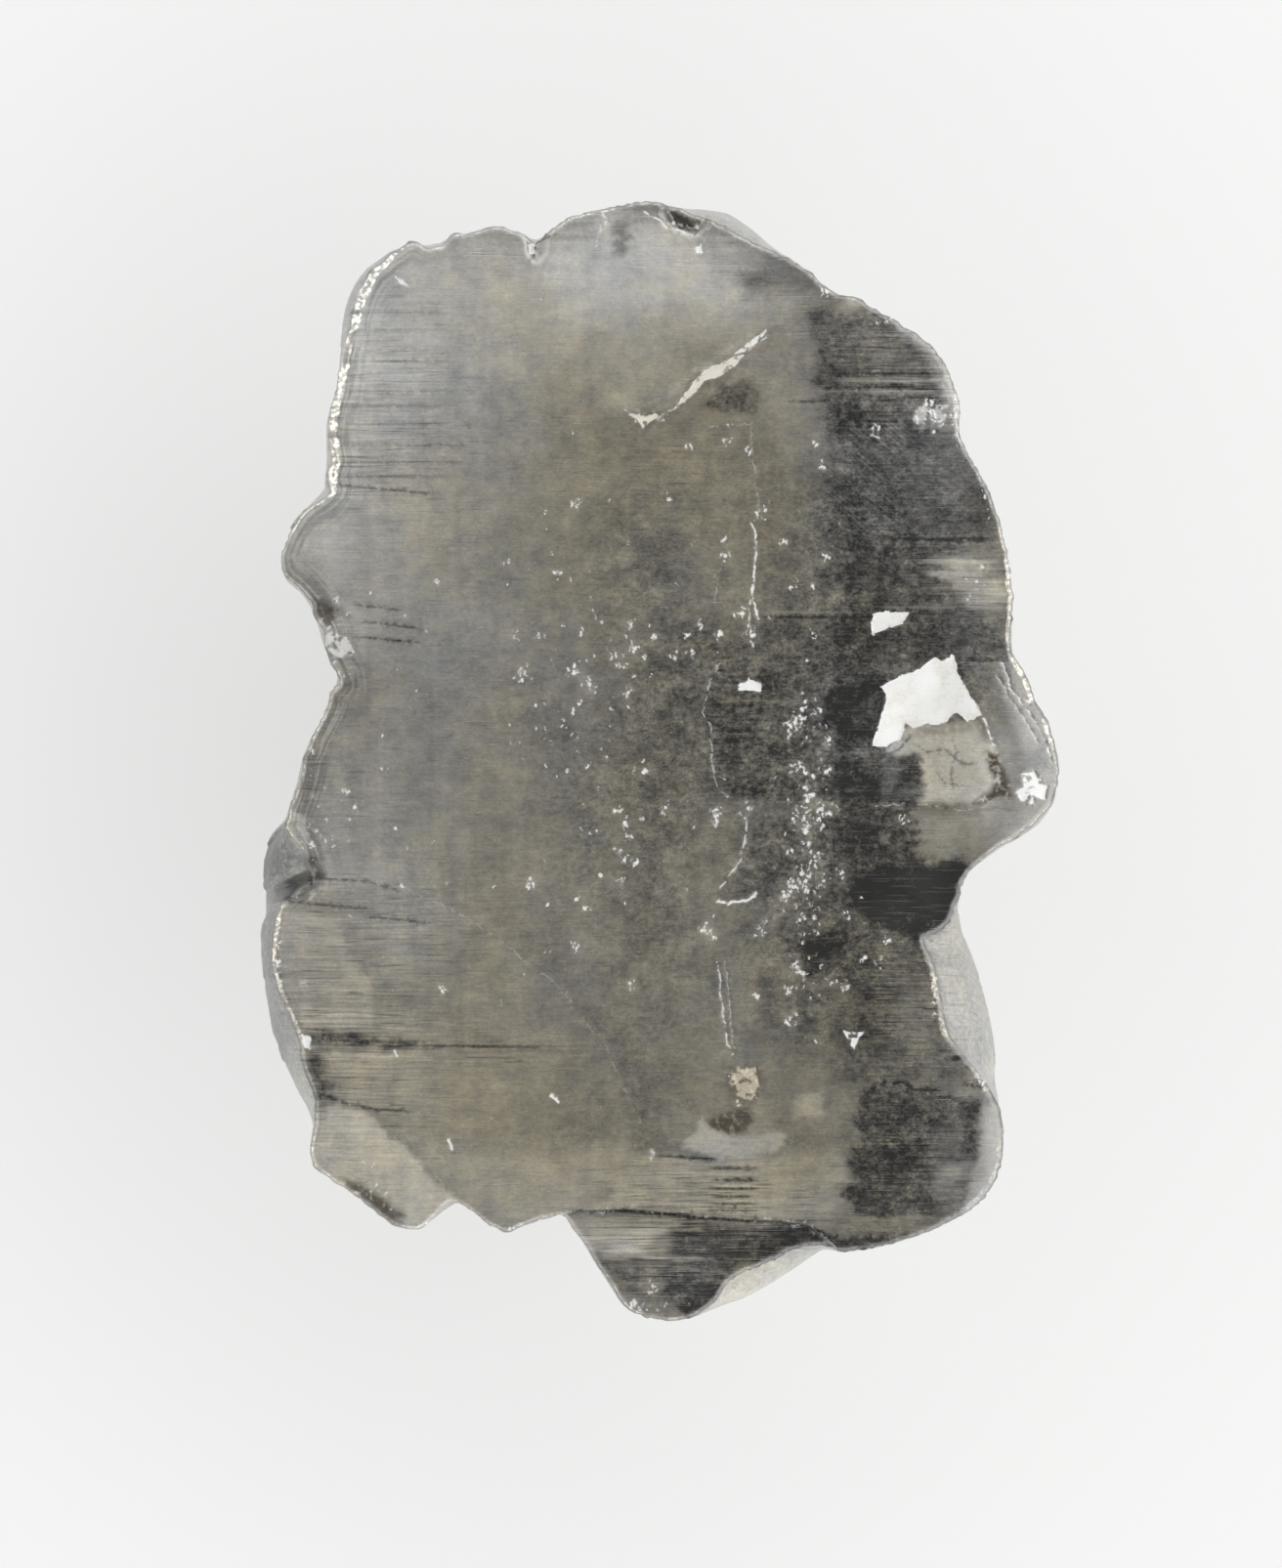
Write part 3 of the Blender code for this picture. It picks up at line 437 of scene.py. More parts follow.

# The rim's crushed edge is bright in places, partly its own crushed white and partly a painted
# highlight: a point on it, the reach, and how bright
RIM_WHITE_AND_HIGHLIGHTS = [
    (-2.90, 5.10, 0.40, 0.90), (-3.30, 4.40, 0.55, 1.00), (-3.42, 3.60, 0.60, 1.00),
    (-3.45, 2.95, 0.35, 0.90), (-3.65, 2.60, 0.30, 0.80), (-3.90, 2.05, 0.30, 0.35),
    (-3.40, 0.70, 0.25, 0.50), (-3.62, 0.15, 0.40, 0.75), (-3.82, -0.55, 0.35, 0.65),
    (-4.00, -1.90, 0.42, 1.00), (-3.80, -2.60, 0.35, 0.60), (-3.60, -3.40, 0.30, 0.40),
    (-3.58, -4.05, 0.30, 0.70), (-2.90, -4.65, 0.50, 0.40), (-1.60, -4.84, 0.60, 0.30),
    (-0.30, -5.66, 0.60, 0.55), (3.63, 1.60, 0.60, 0.70), (3.45, 2.60, 0.50, 0.55),
    (3.80, 0.80, 0.40, 0.95), (4.00, 0.40, 0.35, 0.95), (4.10, -0.10, 0.40, 0.50),
    (3.70, -0.75, 0.45, 0.45), (2.85, -2.30, 0.45, 0.80), (3.40, -4.35, 0.50, 0.35),
    (-1.90, 5.45, 0.70, 0.45), (-0.60, 5.65, 0.60, 0.60), (0.60, 5.50, 0.60, 0.40),
    (1.75, 4.82, 0.25, 0.60), (2.60, 4.42, 0.60, 0.30), (3.08, 3.60, 0.35, 0.80),
]

# The crushed edge is wider in four places: by how much, and past which X and Y, growing over which
# span. A span below 0 is towards the left or down.
PLAIN_RIM_WIDTH = 0.030
WIDER_RIM = [
    (0.070, -2.6, -0.3, 2.6, 0.3), (0.030, 3.4, 0.2, -0.1, 0.3), (0.035, 2.5, 0.2, -1.8, -0.2),
    (0.025, -3.5, -0.2, -1.2, -0.3),
]

# Light patches are milky lobes in the crystal, and painted highlights on bevels and bulges that
# face the side light. Each has its tone, its edge's softness and its outline, and they lie over one
# another in this order.
MILKY_AND_HIGHLIGHT_PATCHES = [
    (0.55, 0.10, [
        (-1.27, 5.10), (-1.10, 4.80), (-0.95, 4.50), (-0.75, 4.10), (-0.75, 3.80), (-0.57, 3.60),
        (-0.35, 3.55), (0.15, 3.60), (0.37, 3.82), (0.87, 4.18), (1.25, 4.50), (1.55, 4.80),
        (1.05, 5.18), (0.70, 5.37), (-0.55, 5.60)]),
    (0.68, 0.30, [
        (-1.10, 5.10), (-1.05, 5.35), (-0.75, 5.65), (-0.35, 5.70), (0.25, 5.40), (0.65, 5.10),
        (0.95, 4.80), (1.05, 4.62), (0.65, 4.52), (0.25, 4.62), (-0.35, 4.60), (-0.80, 4.50),
        (-0.95, 4.75)]),
    (0.47, 0.10, [
        (-3.75, -1.50), (-2.95, -1.20), (-2.75, -1.25), (-1.95, -1.60), (-1.15, -2.20),
        (-0.55, -2.90), (-0.20, -3.70), (-0.30, -4.10), (-0.60, -4.40), (-1.10, -4.70),
        (-1.60, -4.90), (-2.10, -4.60), (-2.60, -4.80), (-3.80, -4.20), (-4.10, -2.60)]),
    (0.54, 0.12, [
        (-2.80, -3.75), (-2.20, -3.95), (-1.20, -4.05), (-0.40, -3.90), (-0.25, -4.10),
        (-0.45, -4.30), (-1.00, -4.63), (-1.63, -4.83), (-2.10, -4.55), (-2.30, -4.20)]),
    (0.58, 0.06, [
        (-3.95, -1.50), (-3.25, -1.65), (-3.10, -2.05), (-3.03, -2.25), (-2.92, -2.65),
        (-3.65, -2.72), (-4.05, -2.10)]),
    (0.60, 0.16, [
        (2.85, 2.05), (3.10, 2.15), (3.35, 2.00), (3.47, 1.70), (3.40, 1.55), (3.10, 1.58),
        (2.90, 1.75)]),
    (0.64, 0.04, [
        (2.30, 0.12), (2.50, 0.38), (2.85, 0.38), (3.25, 0.42), (3.37, 0.25), (3.47, 0.05),
        (3.55, -0.20), (3.60, -0.35), (3.35, -0.45), (2.85, -0.42), (2.68, -0.40), (2.73, -0.10),
        (2.65, 0.04)]),
    (0.47, 0.10, [
        (3.30, 0.48), (3.65, 0.35), (3.85, 0.50), (4.20, 0.30), (4.25, -0.30), (4.00, -0.75),
        (3.65, -0.85), (3.25, -1.02), (3.50, -0.52), (3.66, -0.35), (3.50, 0.05)]),
    (0.43, 0.08, [
        (3.10, 1.04), (3.58, 1.02), (3.72, 0.78), (3.85, 0.50), (3.35, 0.42), (3.18, 0.70)]),
    (0.54, 0.14, [
        (2.55, -0.50), (3.35, -0.50), (3.65, -0.65), (3.35, -0.95), (2.85, -1.02), (2.65, -0.90)]),
    (0.55, 0.05, [
        (-0.32, -4.05), (-0.10, -4.02), (0.60, -4.05), (1.05, -4.00), (1.90, -3.90), (1.93, -4.45),
        (1.55, -4.70), (0.85, -4.65), (0.25, -4.58), (-0.35, -4.55), (-0.80, -4.60), (-0.53, -4.45)]),
    (0.44, 0.10, [(1.10, -3.35), (1.95, -3.35), (1.95, -4.00), (1.05, -4.02)]),
    (0.60, 0.025, [
        (0.22, -3.98), (0.45, -3.60), (0.52, -3.72), (0.85, -3.85), (1.15, -3.78), (1.27, -3.84),
        (1.20, -3.98), (0.90, -4.03), (0.65, -4.08)]),
    (0.54, 0.04, [(1.40, -3.38), (1.70, -3.37), (1.68, -3.60), (1.40, -3.62)]),
    (0.65, 0.03, [
        (-3.70, -3.53), (-3.30, -3.52), (-2.90, -3.65), (-2.75, -3.85), (-2.45, -4.10),
        (-2.25, -4.30), (-2.10, -4.50), (-2.40, -4.90), (-2.70, -4.90), (-3.30, -4.45),
        (-3.70, -4.15)]),
    (0.58, 0.05, [
        (-1.05, -4.68), (-0.35, -4.66), (0.25, -4.68), (0.15, -4.82), (-0.25, -5.05), (-0.55, -5.10),
        (-0.75, -5.00)]),
    (0.50, 0.05, [
        (2.82, -2.84), (2.96, -2.74), (3.20, -3.08), (3.44, -3.40), (3.10, -3.44), (2.94, -3.20)]),
    (0.56, 0.04, [
        (3.28, -3.48), (3.47, -3.50), (3.70, -4.00), (3.60, -4.35), (3.30, -4.65), (3.05, -4.75),
        (3.25, -4.10), (3.28, -3.70)]),
    (0.52, 0.05, [
        (-3.95, -0.75), (-3.75, -0.80), (-3.62, -1.00), (-3.78, -1.25), (-3.95, -1.25),
        (-4.00, -1.00)]),
]

# Dark patches are painted shade, where the facets underneath send no light back
PAINTED_SHADE_PATCHES = [
    (0.33, 0.05, [
        (1.57, 4.62), (1.75, 4.68), (2.23, 4.58), (2.85, 4.08), (3.00, 3.85), (2.90, 3.40),
        (2.30, 3.35), (1.73, 3.28), (1.63, 3.60), (1.63, 3.85), (1.59, 4.30)]),
    (0.33, 0.14, [
        (1.93, 3.25), (2.30, 3.32), (2.85, 3.28), (3.10, 3.10), (3.35, 2.80), (3.47, 2.45),
        (3.45, 2.24), (2.30, 2.24), (1.85, 2.20), (1.75, 2.60), (1.85, 3.00)]),
    (0.26, 0.22, [
        (1.83, 2.20), (2.85, 2.20), (2.85, 1.90), (2.80, 1.55), (3.60, 1.52), (3.60, 1.08),
        (3.00, 1.06), (2.70, 1.04), (2.25, 0.85), (1.75, 0.80), (1.60, 0.95), (1.75, 1.45)]),
    (0.20, 0.03, [
        (1.63, 0.55), (1.75, 0.75), (1.95, 0.83), (2.30, 0.80), (2.33, 0.55), (2.25, 0.30),
        (2.20, 0.12), (1.87, 0.15), (1.70, 0.25), (1.63, 0.40)]),
    (0.20, 0.04, [
        (1.67, 0.02), (2.25, 0.08), (2.60, 0.05), (2.70, -0.10), (2.67, -0.35), (2.50, -0.43),
        (1.85, -0.44), (1.63, -0.35)]),
    (0.27, 0.10, [
        (0.60, 1.02), (1.05, 0.98), (1.20, 0.70), (1.00, 0.35), (0.85, 0.20), (0.55, 0.22),
        (0.50, 0.55), (0.52, 0.80)]),
    (0.28, 0.07, [
        (0.55, 0.15), (0.95, 0.18), (1.45, 0.05), (1.50, -0.20), (1.45, -0.38), (0.80, -0.42),
        (0.62, -0.25), (0.57, 0.00)]),
    (0.31, 0.12, [
        (0.90, -1.10), (1.00, -0.80), (1.25, -0.68), (1.40, -0.72), (1.33, -1.00), (1.25, -1.35),
        (0.95, -1.40), (0.65, -1.38), (0.70, -1.25)]),
    (0.27, 0.16, [
        (1.80, -0.55), (2.25, -0.52), (2.50, -0.65), (2.55, -0.90), (2.45, -1.05), (1.95, -1.10),
        (1.75, -1.00), (1.70, -0.75)]),
    (0.13, 0.05, [
        (1.93, -1.25), (2.10, -1.13), (2.55, -1.05), (3.10, -1.02), (3.15, -1.15), (3.00, -1.25),
        (3.03, -1.50), (2.87, -1.65), (2.70, -1.82), (2.50, -1.78), (2.25, -1.68), (2.03, -1.58),
        (1.95, -1.45)]),
    (0.22, 0.10, [
        (1.55, -1.82), (1.75, -1.75), (1.97, -1.80), (1.93, -2.05), (1.85, -2.20), (1.60, -2.20),
        (1.47, -2.10), (1.40, -1.90)]),
    (0.32, 0.16, [
        (1.95, -1.80), (2.65, -1.86), (2.80, -2.05), (2.87, -2.40), (2.93, -2.80), (2.95, -3.05),
        (3.20, -3.10), (3.10, -3.30), (2.30, -3.28), (2.05, -3.20), (1.95, -2.70), (1.93, -2.20)]),
    (0.23, 0.06, [
        (2.03, -3.45), (2.30, -3.35), (2.65, -3.37), (3.10, -3.42), (3.25, -3.50), (3.25, -3.70),
        (3.20, -4.05), (2.85, -4.15), (2.70, -4.45), (2.85, -4.62), (2.30, -4.65), (1.95, -4.60),
        (1.85, -4.42), (2.05, -4.30), (1.95, -4.10), (2.05, -3.80)]),
    (0.25, 0.08, [
        (0.20, -4.78), (0.90, -4.72), (1.55, -4.78), (1.85, -4.95), (2.20, -4.92), (1.85, -5.02),
        (1.40, -5.02), (0.95, -5.15), (0.65, -5.25), (0.20, -5.10)]),
    (0.27, 0.10, [
        (-0.63, -5.12), (-0.35, -5.10), (0.15, -5.15), (0.60, -5.20), (0.65, -5.40), (0.45, -5.55),
        (0.25, -5.65), (0.15, -5.55), (-0.25, -5.50), (-0.45, -5.40)]),
    (0.14, 0.04, [
        (0.20, -5.62), (0.34, -5.42), (0.52, -5.28), (0.68, -5.30), (0.58, -5.50), (0.42, -5.64),
        (0.28, -5.72)]),
    (0.26, 0.04, [
        (1.35, -4.80), (1.90, -4.86), (2.40, -4.84), (2.75, -4.78), (2.42, -4.93), (1.95, -5.03),
        (1.70, -4.98)]),
    (0.32, 0.03, [
        (0.43, 3.65), (0.60, 3.82), (0.85, 3.92), (0.98, 3.95), (1.00, 3.70), (0.93, 3.55),
        (0.70, 3.55), (0.50, 3.60)]),
    (0.36, 0.14, [(0.95, 5.00), (1.15, 5.05), (1.60, 4.90), (1.25, 4.80), (0.95, 4.82)]),
    (0.16, 0.03, [
        (0.03, 5.65), (0.25, 5.62), (0.37, 5.52), (0.41, 5.42), (0.25, 5.48), (0.10, 5.58)]),
    (0.45, 0.06, [(-0.48, 5.50), (-0.35, 5.52), (-0.37, 5.20), (-0.48, 5.22)]),
    (0.24, 0.04, [
        (-3.60, -2.76), (-3.10, -2.80), (-2.50, -2.86), (-2.50, -2.94), (-3.00, -2.92),
        (-3.60, -2.86)]),
    (0.34, 0.10, [(-3.62, -2.95), (-3.45, -2.95), (-3.35, -3.45), (-3.60, -3.50)]),
    (0.08, 0.02, [(-3.92, -1.38), (-3.74, -1.20), (-3.73, -1.30), (-3.88, -1.44)]),
    (0.25, 0.06, [(-3.75, -1.05), (-3.55, -1.02), (-3.42, -1.18), (-3.55, -1.30), (-3.70, -1.25)]),
    (0.28, 0.06, [(-3.62, 1.70), (-3.35, 1.62), (-3.20, 1.52), (-3.40, 1.48), (-3.52, 1.55)]),
    (0.36, 0.06, [(-3.20, -4.34), (-3.05, -4.32), (-2.70, -4.62), (-2.62, -4.78), (-2.85, -4.72)]),
]

# Four crumbled places shine out of the dark, as painted glints. Each has its tone, softness and
# outline.
GLINTS = [
    (0.52, 0.02, [
        (2.88, 4.10), (2.98, 4.02), (3.05, 3.82), (3.09, 3.62), (3.07, 3.44), (2.99, 3.42),
        (2.96, 3.60), (2.92, 3.85)]),
    (0.46, 0.03, [
        (2.60, 3.58), (2.72, 3.70), (2.80, 3.62), (2.95, 3.72), (3.05, 3.60), (2.92, 3.50),
        (2.98, 3.40), (2.80, 3.42), (2.66, 3.38)]),
    (0.56, 0.10, [
        (2.92, 2.02), (3.10, 2.12), (3.30, 2.02), (3.42, 1.80), (3.34, 1.62), (3.12, 1.62),
        (3.00, 1.78)]),
    (0.60, 0.06, [(1.84, 4.66), (1.96, 4.78), (2.06, 4.70), (2.00, 4.62)]),
]

# Iron has stained a few hollows brown
STAINS = [
    (0.02, 0.30, [
        (0.10, 3.55), (0.38, 3.72), (0.66, 3.88), (0.92, 4.20), (0.60, 4.12), (0.30, 3.92)]),
    (0.03, 1.00, [
        (0.47, -3.72), (0.55, -3.63), (0.70, -3.60), (0.80, -3.55), (0.92, -3.53), (0.93, -3.65),
        (0.88, -3.75), (0.75, -3.83), (0.53, -3.77)]),
    (0.03, 1.00, [
        (3.34, 0.14), (3.46, 0.10), (3.52, -0.05), (3.61, -0.36), (3.44, -0.38), (3.20, -0.47),
        (3.18, -0.41), (3.38, -0.31), (3.42, -0.18), (3.36, -0.02)]),
    (0.05, 0.62, [(0.66, -3.10), (1.06, -3.08), (1.08, -3.34), (0.94, -3.50), (0.70, -3.44)]),
    (0.03, 0.40, [(-0.36, 3.60), (0.06, 3.62), (-0.04, 3.48), (-0.16, 3.38), (-0.28, 3.46)]),
    (0.03, 0.45, [
        (2.62, 0.33), (2.95, 0.36), (3.20, 0.40), (3.20, 0.32), (2.90, 0.28), (2.65, 0.26)]),
    (0.03, 0.80, [(-3.62, 1.66), (-3.44, 1.66), (-3.28, 1.46), (-3.38, 1.38), (-3.56, 1.48)]),
    (0.03, 0.70, [(-3.52, 0.96), (-3.36, 0.92), (-3.34, 0.80), (-3.42, 0.76)]),
    (0.04, 0.70, [(-3.78, -1.00), (-3.60, -0.98), (-3.44, -1.14), (-3.50, -1.22), (-3.72, -1.14)]),
    (0.03, 0.50, [
        (2.66, -1.90), (2.80, -1.94), (2.90, -2.30), (2.96, -2.66), (2.88, -2.68), (2.80, -2.30)]),
    (0.02, 1.00, [(0.36, 3.97), (0.40, 3.99), (0.40, 3.93), (0.37, 3.92)]),
    (0.02, 0.80, [(0.05, 5.62), (0.10, 5.66), (0.36, 5.52), (0.30, 5.50)]),
    (0.05, 0.70, [(-3.30, -4.26), (-3.10, -4.30), (-2.72, -4.60), (-2.80, -4.66), (-3.20, -4.42)]),
]

# Crushed places are white, and the same white paints the highlight on the bright pit's facet and
# the glints at the upper right: how white, and the outline. Above 1 a place is white all over.
CHIPS_AND_HIGHLIGHTS = [
    (1.25, [
        (0.13, 3.60), (0.26, 3.70), (0.38, 3.80), (0.46, 3.89), (0.63, 3.95), (0.77, 4.05),
        (0.88, 4.19), (0.75, 4.14), (0.60, 4.08), (0.47, 4.02), (0.37, 3.90), (0.25, 3.76)]),
    (1.25, [(0.76, 4.18), (1.10, 4.44), (1.06, 4.36), (0.86, 4.20)]),
    (2.4, [
        (2.18, 1.32), (2.16, 1.42), (2.21, 1.52), (2.33, 1.54), (2.54, 1.53), (2.49, 1.43),
        (2.37, 1.39), (2.27, 1.34)]),
    (2.4, [
        (2.18, 0.18), (2.22, 0.30), (2.28, 0.45), (2.31, 0.60), (2.32, 0.70), (2.27, 0.77),
        (2.45, 0.86), (2.60, 0.92), (2.70, 0.98), (2.82, 1.08), (2.87, 1.03), (3.02, 1.08),
        (3.05, 0.90), (3.10, 0.80), (3.17, 0.68), (3.28, 0.50), (3.23, 0.44), (3.15, 0.42),
        (3.05, 0.52), (2.90, 0.40), (2.70, 0.39), (2.60, 0.35), (2.52, 0.40), (2.51, 0.32),
        (2.47, 0.24), (2.30, 0.16)]),
    (2.4, [(0.80, 0.75), (0.83, 0.82), (0.93, 0.83), (1.05, 0.79), (1.02, 0.72), (0.90, 0.74)]),
    (2.4, [(0.38, 5.28), (0.44, 5.28), (0.44, 5.22), (0.39, 5.22)]),
    (2.4, [(-1.34, 5.30), (-1.28, 5.31), (-1.27, 5.21), (-1.33, 5.20)]),
    (2.4, [(-3.67, -2.79), (-3.57, -2.82), (-3.60, -2.93), (-3.64, -2.90)]),
    (1.0, [
        (3.70, -0.13), (3.84, -0.10), (3.88, -0.22), (3.97, -0.24), (3.94, -0.38), (3.80, -0.34),
        (3.72, -0.42), (3.64, -0.32), (3.74, -0.26)]),
    (0.75, [
        (1.87, -2.75), (1.95, -2.78), (2.10, -2.76), (2.02, -2.86), (1.99, -2.97), (1.95, -2.87)]),
    (0.50, [
        (-3.48, 1.28), (-3.34, 1.34), (-3.16, 1.22), (-3.10, 1.10), (-3.26, 1.06), (-3.40, 1.14)]),
    (0.48, [
        (0.72, -3.16), (0.98, -3.14), (1.02, -3.30), (0.94, -3.46), (0.80, -3.42), (0.78, -3.28)]),
    (0.42, [(2.58, 3.52), (2.66, 3.66), (2.76, 3.64), (2.72, 3.48), (2.62, 3.42)]),
    (0.42, [(2.84, 3.66), (2.96, 3.68), (2.93, 3.50), (2.85, 3.44), (2.80, 3.54)]),
    (0.85, [(-0.32, 3.57), (-0.10, 3.55), (0.02, 3.58), (-0.08, 3.50), (-0.16, 3.42), (-0.22, 3.50)]),
]

# Cracks: how far across they are crushed, how white they are, and the line they follow
CRACKS = [
    (0.012, 0.75, [
        (0.93, 2.45), (0.98, 2.35), (0.99, 2.20), (0.97, 2.00), (0.95, 1.80), (0.97, 1.60),
        (1.01, 1.45)]),
    (0.010, 0.55, [(0.95, 1.80), (0.91, 1.60), (0.93, 1.35), (0.95, 1.15)]),
    (0.008, 0.35, [
        (0.53, 3.42), (0.95, 3.47), (0.94, 3.18), (1.00, 2.80), (1.03, 2.58), (0.93, 2.45)]),
    (0.009, 0.45, [
        (0.62, 1.02), (0.53, 0.85), (0.47, 0.65), (0.45, 0.52), (0.53, 0.35), (0.52, 0.20),
        (0.54, -0.05), (0.60, -0.25), (0.70, -0.38)]),
    (0.010, 0.55, [
        (0.83, -0.50), (0.88, -0.62), (0.87, -0.85), (0.83, -1.00), (0.73, -1.15), (0.60, -1.32)]),
    (0.013, 0.80, [(0.60, -1.42), (0.70, -1.45), (0.85, -1.42), (0.97, -1.36)]),
    (0.010, 0.55, [
        (0.58, -2.05), (0.61, -2.20), (0.64, -2.40), (0.65, -2.60), (0.67, -2.75), (0.75, -3.00)]),
    (0.012, 0.60, [(-0.15, 5.65), (0.07, 5.48), (0.35, 5.38)]),
    (0.012, 0.60, [(-0.58, 5.67), (-0.55, 5.50), (-0.63, 5.40), (-0.63, 5.25)]),
    (0.015, 0.95, [(-2.72, 4.97), (-2.65, 4.93), (-2.58, 4.87)]),
    (0.013, 0.90, [(-2.15, -3.88), (-2.09, -3.98)]), (0.014, 0.95, [(-1.10, -3.41), (-1.04, -3.49)]),
    (0.012, 0.80, [(-2.70, -2.95), (-2.67, -3.02)]), (0.012, 0.80, [(-0.10, -3.98), (-0.07, -4.06)]),
    (0.012, 0.60, [(3.05, 0.90), (3.22, 0.60), (3.45, 0.15)]),
    (0.012, 0.45, [(0.87, 4.18), (1.00, 4.28), (1.10, 4.35)]),
    (0.014, 0.40, [(-0.36, 3.58), (-0.20, 3.52), (0.00, 3.54), (0.15, 3.62)]),
    (0.008, 0.30, [(-2.75, -1.22), (-1.95, -1.60), (-1.15, -2.20), (-0.55, -2.90), (-0.20, -3.70)]),
    (0.008, 0.30, [(-2.80, -3.75), (-2.30, -4.20), (-2.13, -4.52)]),
    (0.006, 0.30, [(1.98, 3.88), (2.10, 3.62), (2.18, 3.48)]),
    (0.008, 0.75, [(2.18, 3.48), (2.25, 3.42), (2.23, 3.32), (2.16, 3.34), (2.19, 3.44)]),
    (0.008, 0.60, [(3.50, 1.02), (3.62, 0.72), (3.85, 0.40), (3.98, 0.20), (4.02, -0.05)]),
    (0.007, 0.40, [(0.66, -2.05), (0.70, -2.30), (0.72, -2.62), (0.76, -2.96)]),
    (0.007, 0.35, [(0.56, 1.62), (0.58, 1.84), (0.64, 2.02)]),
    (0.006, 0.40, [(2.20, -0.45), (2.66, -0.43), (3.10, -0.50), (3.36, -0.46)]),
    (0.008, 0.45, [(3.46, 0.90), (3.62, 0.58), (3.74, 0.46), (3.90, 0.16)]),
]

# Dark lines along the growth layers: how wide, how dark, and the line
DARK_LINES = [
    (0.012, 0.45, [(2.05, 3.98), (2.90, 3.98)]),
    (0.013, 0.90, [(1.60, 3.83), (2.40, 3.84), (2.90, 3.82)]),
    (0.014, 0.50, [(2.05, 3.75), (2.90, 3.73)]), (0.012, 0.45, [(1.25, 3.69), (1.85, 3.69)]),
    (0.012, 0.45, [(2.45, 3.39), (2.90, 3.39)]), (0.030, 0.95, [(2.25, 2.30), (3.42, 2.28)]),
    (0.016, 0.75, [(1.00, 1.49), (2.15, 1.48)]), (0.014, 0.75, [(3.03, 1.04), (3.59, 1.04)]),
    (0.012, 0.55, [(2.85, -3.05), (3.15, -3.05)]), (0.016, 0.70, [(2.90, -3.02), (3.30, -3.03)]),
    (0.012, 0.45, [(-3.35, 2.84), (-2.25, 2.74)]), (0.010, 0.45, [(-3.15, 1.45), (-2.40, 1.36)]),
    (0.010, 0.50, [(-3.20, 1.29), (-2.40, 1.22)]), (0.010, 0.35, [(-3.20, 1.62), (-2.60, 1.55)]),
    (0.010, 0.38, [(-3.65, -1.18), (-3.00, -1.22), (-2.60, -1.34)]),
    (0.012, 0.50, [(-3.90, -1.42), (-3.25, -1.48), (-2.90, -1.50)]),
    (0.012, 0.80, [(-1.36, 5.10), (-1.29, 5.20), (-1.27, 5.33), (-1.18, 5.36), (-1.02, 5.43)]),
    (0.008, 0.45, [(-1.29, 5.20), (-1.12, 5.22)]), (0.010, 0.60, [(-3.42, 3.32), (-3.20, 3.33)]),
    (0.010, 0.60, [(-3.32, 4.62), (-3.05, 4.65)]), (0.008, 0.50, [(-3.40, 3.95), (-3.20, 3.94)]),
    (0.009, 0.55, [(-2.44, 3.42), (-2.36, 3.47), (-2.28, 3.49)]),
    (0.008, 0.45, [(-2.02, 3.52), (-1.96, 3.44), (-1.90, 3.38)]),
    (0.008, 0.40, [(-1.60, 3.48), (-1.45, 3.50)]), (0.012, 0.45, [(-3.05, -1.58), (-2.25, -1.65)]),
    (0.016, 0.50, [(-2.50, -2.90), (-1.15, -2.92)]),
    (0.013, 0.55, [(-3.55, -3.38), (-3.25, -3.48), (-2.95, -3.55), (-2.50, -3.58)]),
    (0.012, 0.60, [(-0.07, -4.03), (0.65, -4.07)]),
    (0.018, 0.85, [
        (-1.00, -4.63), (-0.75, -4.60), (-0.35, -4.60), (0.05, -4.63), (0.45, -4.68), (0.85, -4.70),
        (1.25, -4.72), (1.50, -4.76), (1.65, -4.82), (1.75, -4.92), (1.90, -4.98)]),
    (0.014, 0.60, [(0.45, -4.16), (1.05, -4.16)]), (0.014, 0.60, [(0.50, -4.28), (1.05, -4.28)]),
    (0.014, 0.60, [(0.45, -4.37), (1.05, -4.37)]), (0.014, 0.60, [(0.48, -4.45), (1.00, -4.45)]),
    (0.012, 0.50, [(0.50, -4.52), (1.05, -4.52)]), (0.012, 0.50, [(0.45, -4.59), (1.05, -4.59)]),
    (0.010, 0.18, [(-3.30, 4.60), (-2.15, 4.60)]), (0.010, 0.16, [(-3.30, 4.43), (-2.35, 4.43)]),
    (0.008, 0.18, [(-3.30, 4.22), (-2.20, 4.22)]), (0.010, 0.18, [(-3.30, 4.10), (-2.10, 4.10)]),
    (0.010, 0.20, [(-3.30, 3.80), (-2.05, 3.80)]), (0.012, 0.18, [(-3.30, 3.65), (-2.15, 3.65)]),
    (0.008, 0.20, [(-3.30, 3.46), (-2.15, 3.46)]), (0.012, 0.22, [(-3.30, 3.24), (-1.90, 3.24)]),
    (0.010, 0.24, [(-3.30, 3.07), (-1.95, 3.07)]), (0.010, 0.24, [(-3.30, 2.92), (-2.10, 2.92)]),
    (0.008, 0.40, [(2.56, 0.22), (2.74, 0.10), (2.92, 0.13), (3.10, -0.02), (3.30, -0.02)]),
    (0.008, 0.35, [(2.98, 0.30), (3.04, 0.10), (2.98, -0.10), (3.02, -0.36)]),
    (0.007, 0.35, [(2.80, -0.06), (2.92, -0.22), (3.20, -0.26)]),
    (0.010, 0.50, [(2.20, 0.14), (2.30, 0.06), (2.46, 0.14), (2.62, 0.32)]),
    (0.012, 0.55, [(3.05, -3.30), (3.40, -3.33)]), (0.010, 0.50, [(3.10, -3.12), (3.42, -3.16)]),
    (0.018, 0.85, [(2.02, -3.48), (2.22, -3.30), (2.50, -3.28), (2.62, -3.36), (2.90, -3.36)]),
    (0.025, 0.65, [(0.60, 0.22), (0.85, 0.22)]), (0.016, 0.60, [(2.80, -3.42), (3.15, -3.47)]),
    (0.030, 0.50, [(2.40, -4.50), (3.05, -4.52)]), (0.012, 0.45, [(0.52, 0.94), (1.02, 0.95)]),
    (0.012, 0.40, [(0.56, 0.70), (0.98, 0.69)]), (0.010, 0.50, [(0.54, 0.58), (1.04, 0.57)]),
    (0.014, 0.40, [(0.55, 0.46), (0.98, 0.47)]), (0.010, 0.45, [(0.58, 0.34), (1.00, 0.35)]),
    (0.012, 0.50, [(0.50, 0.23), (1.05, 0.22)]),
]
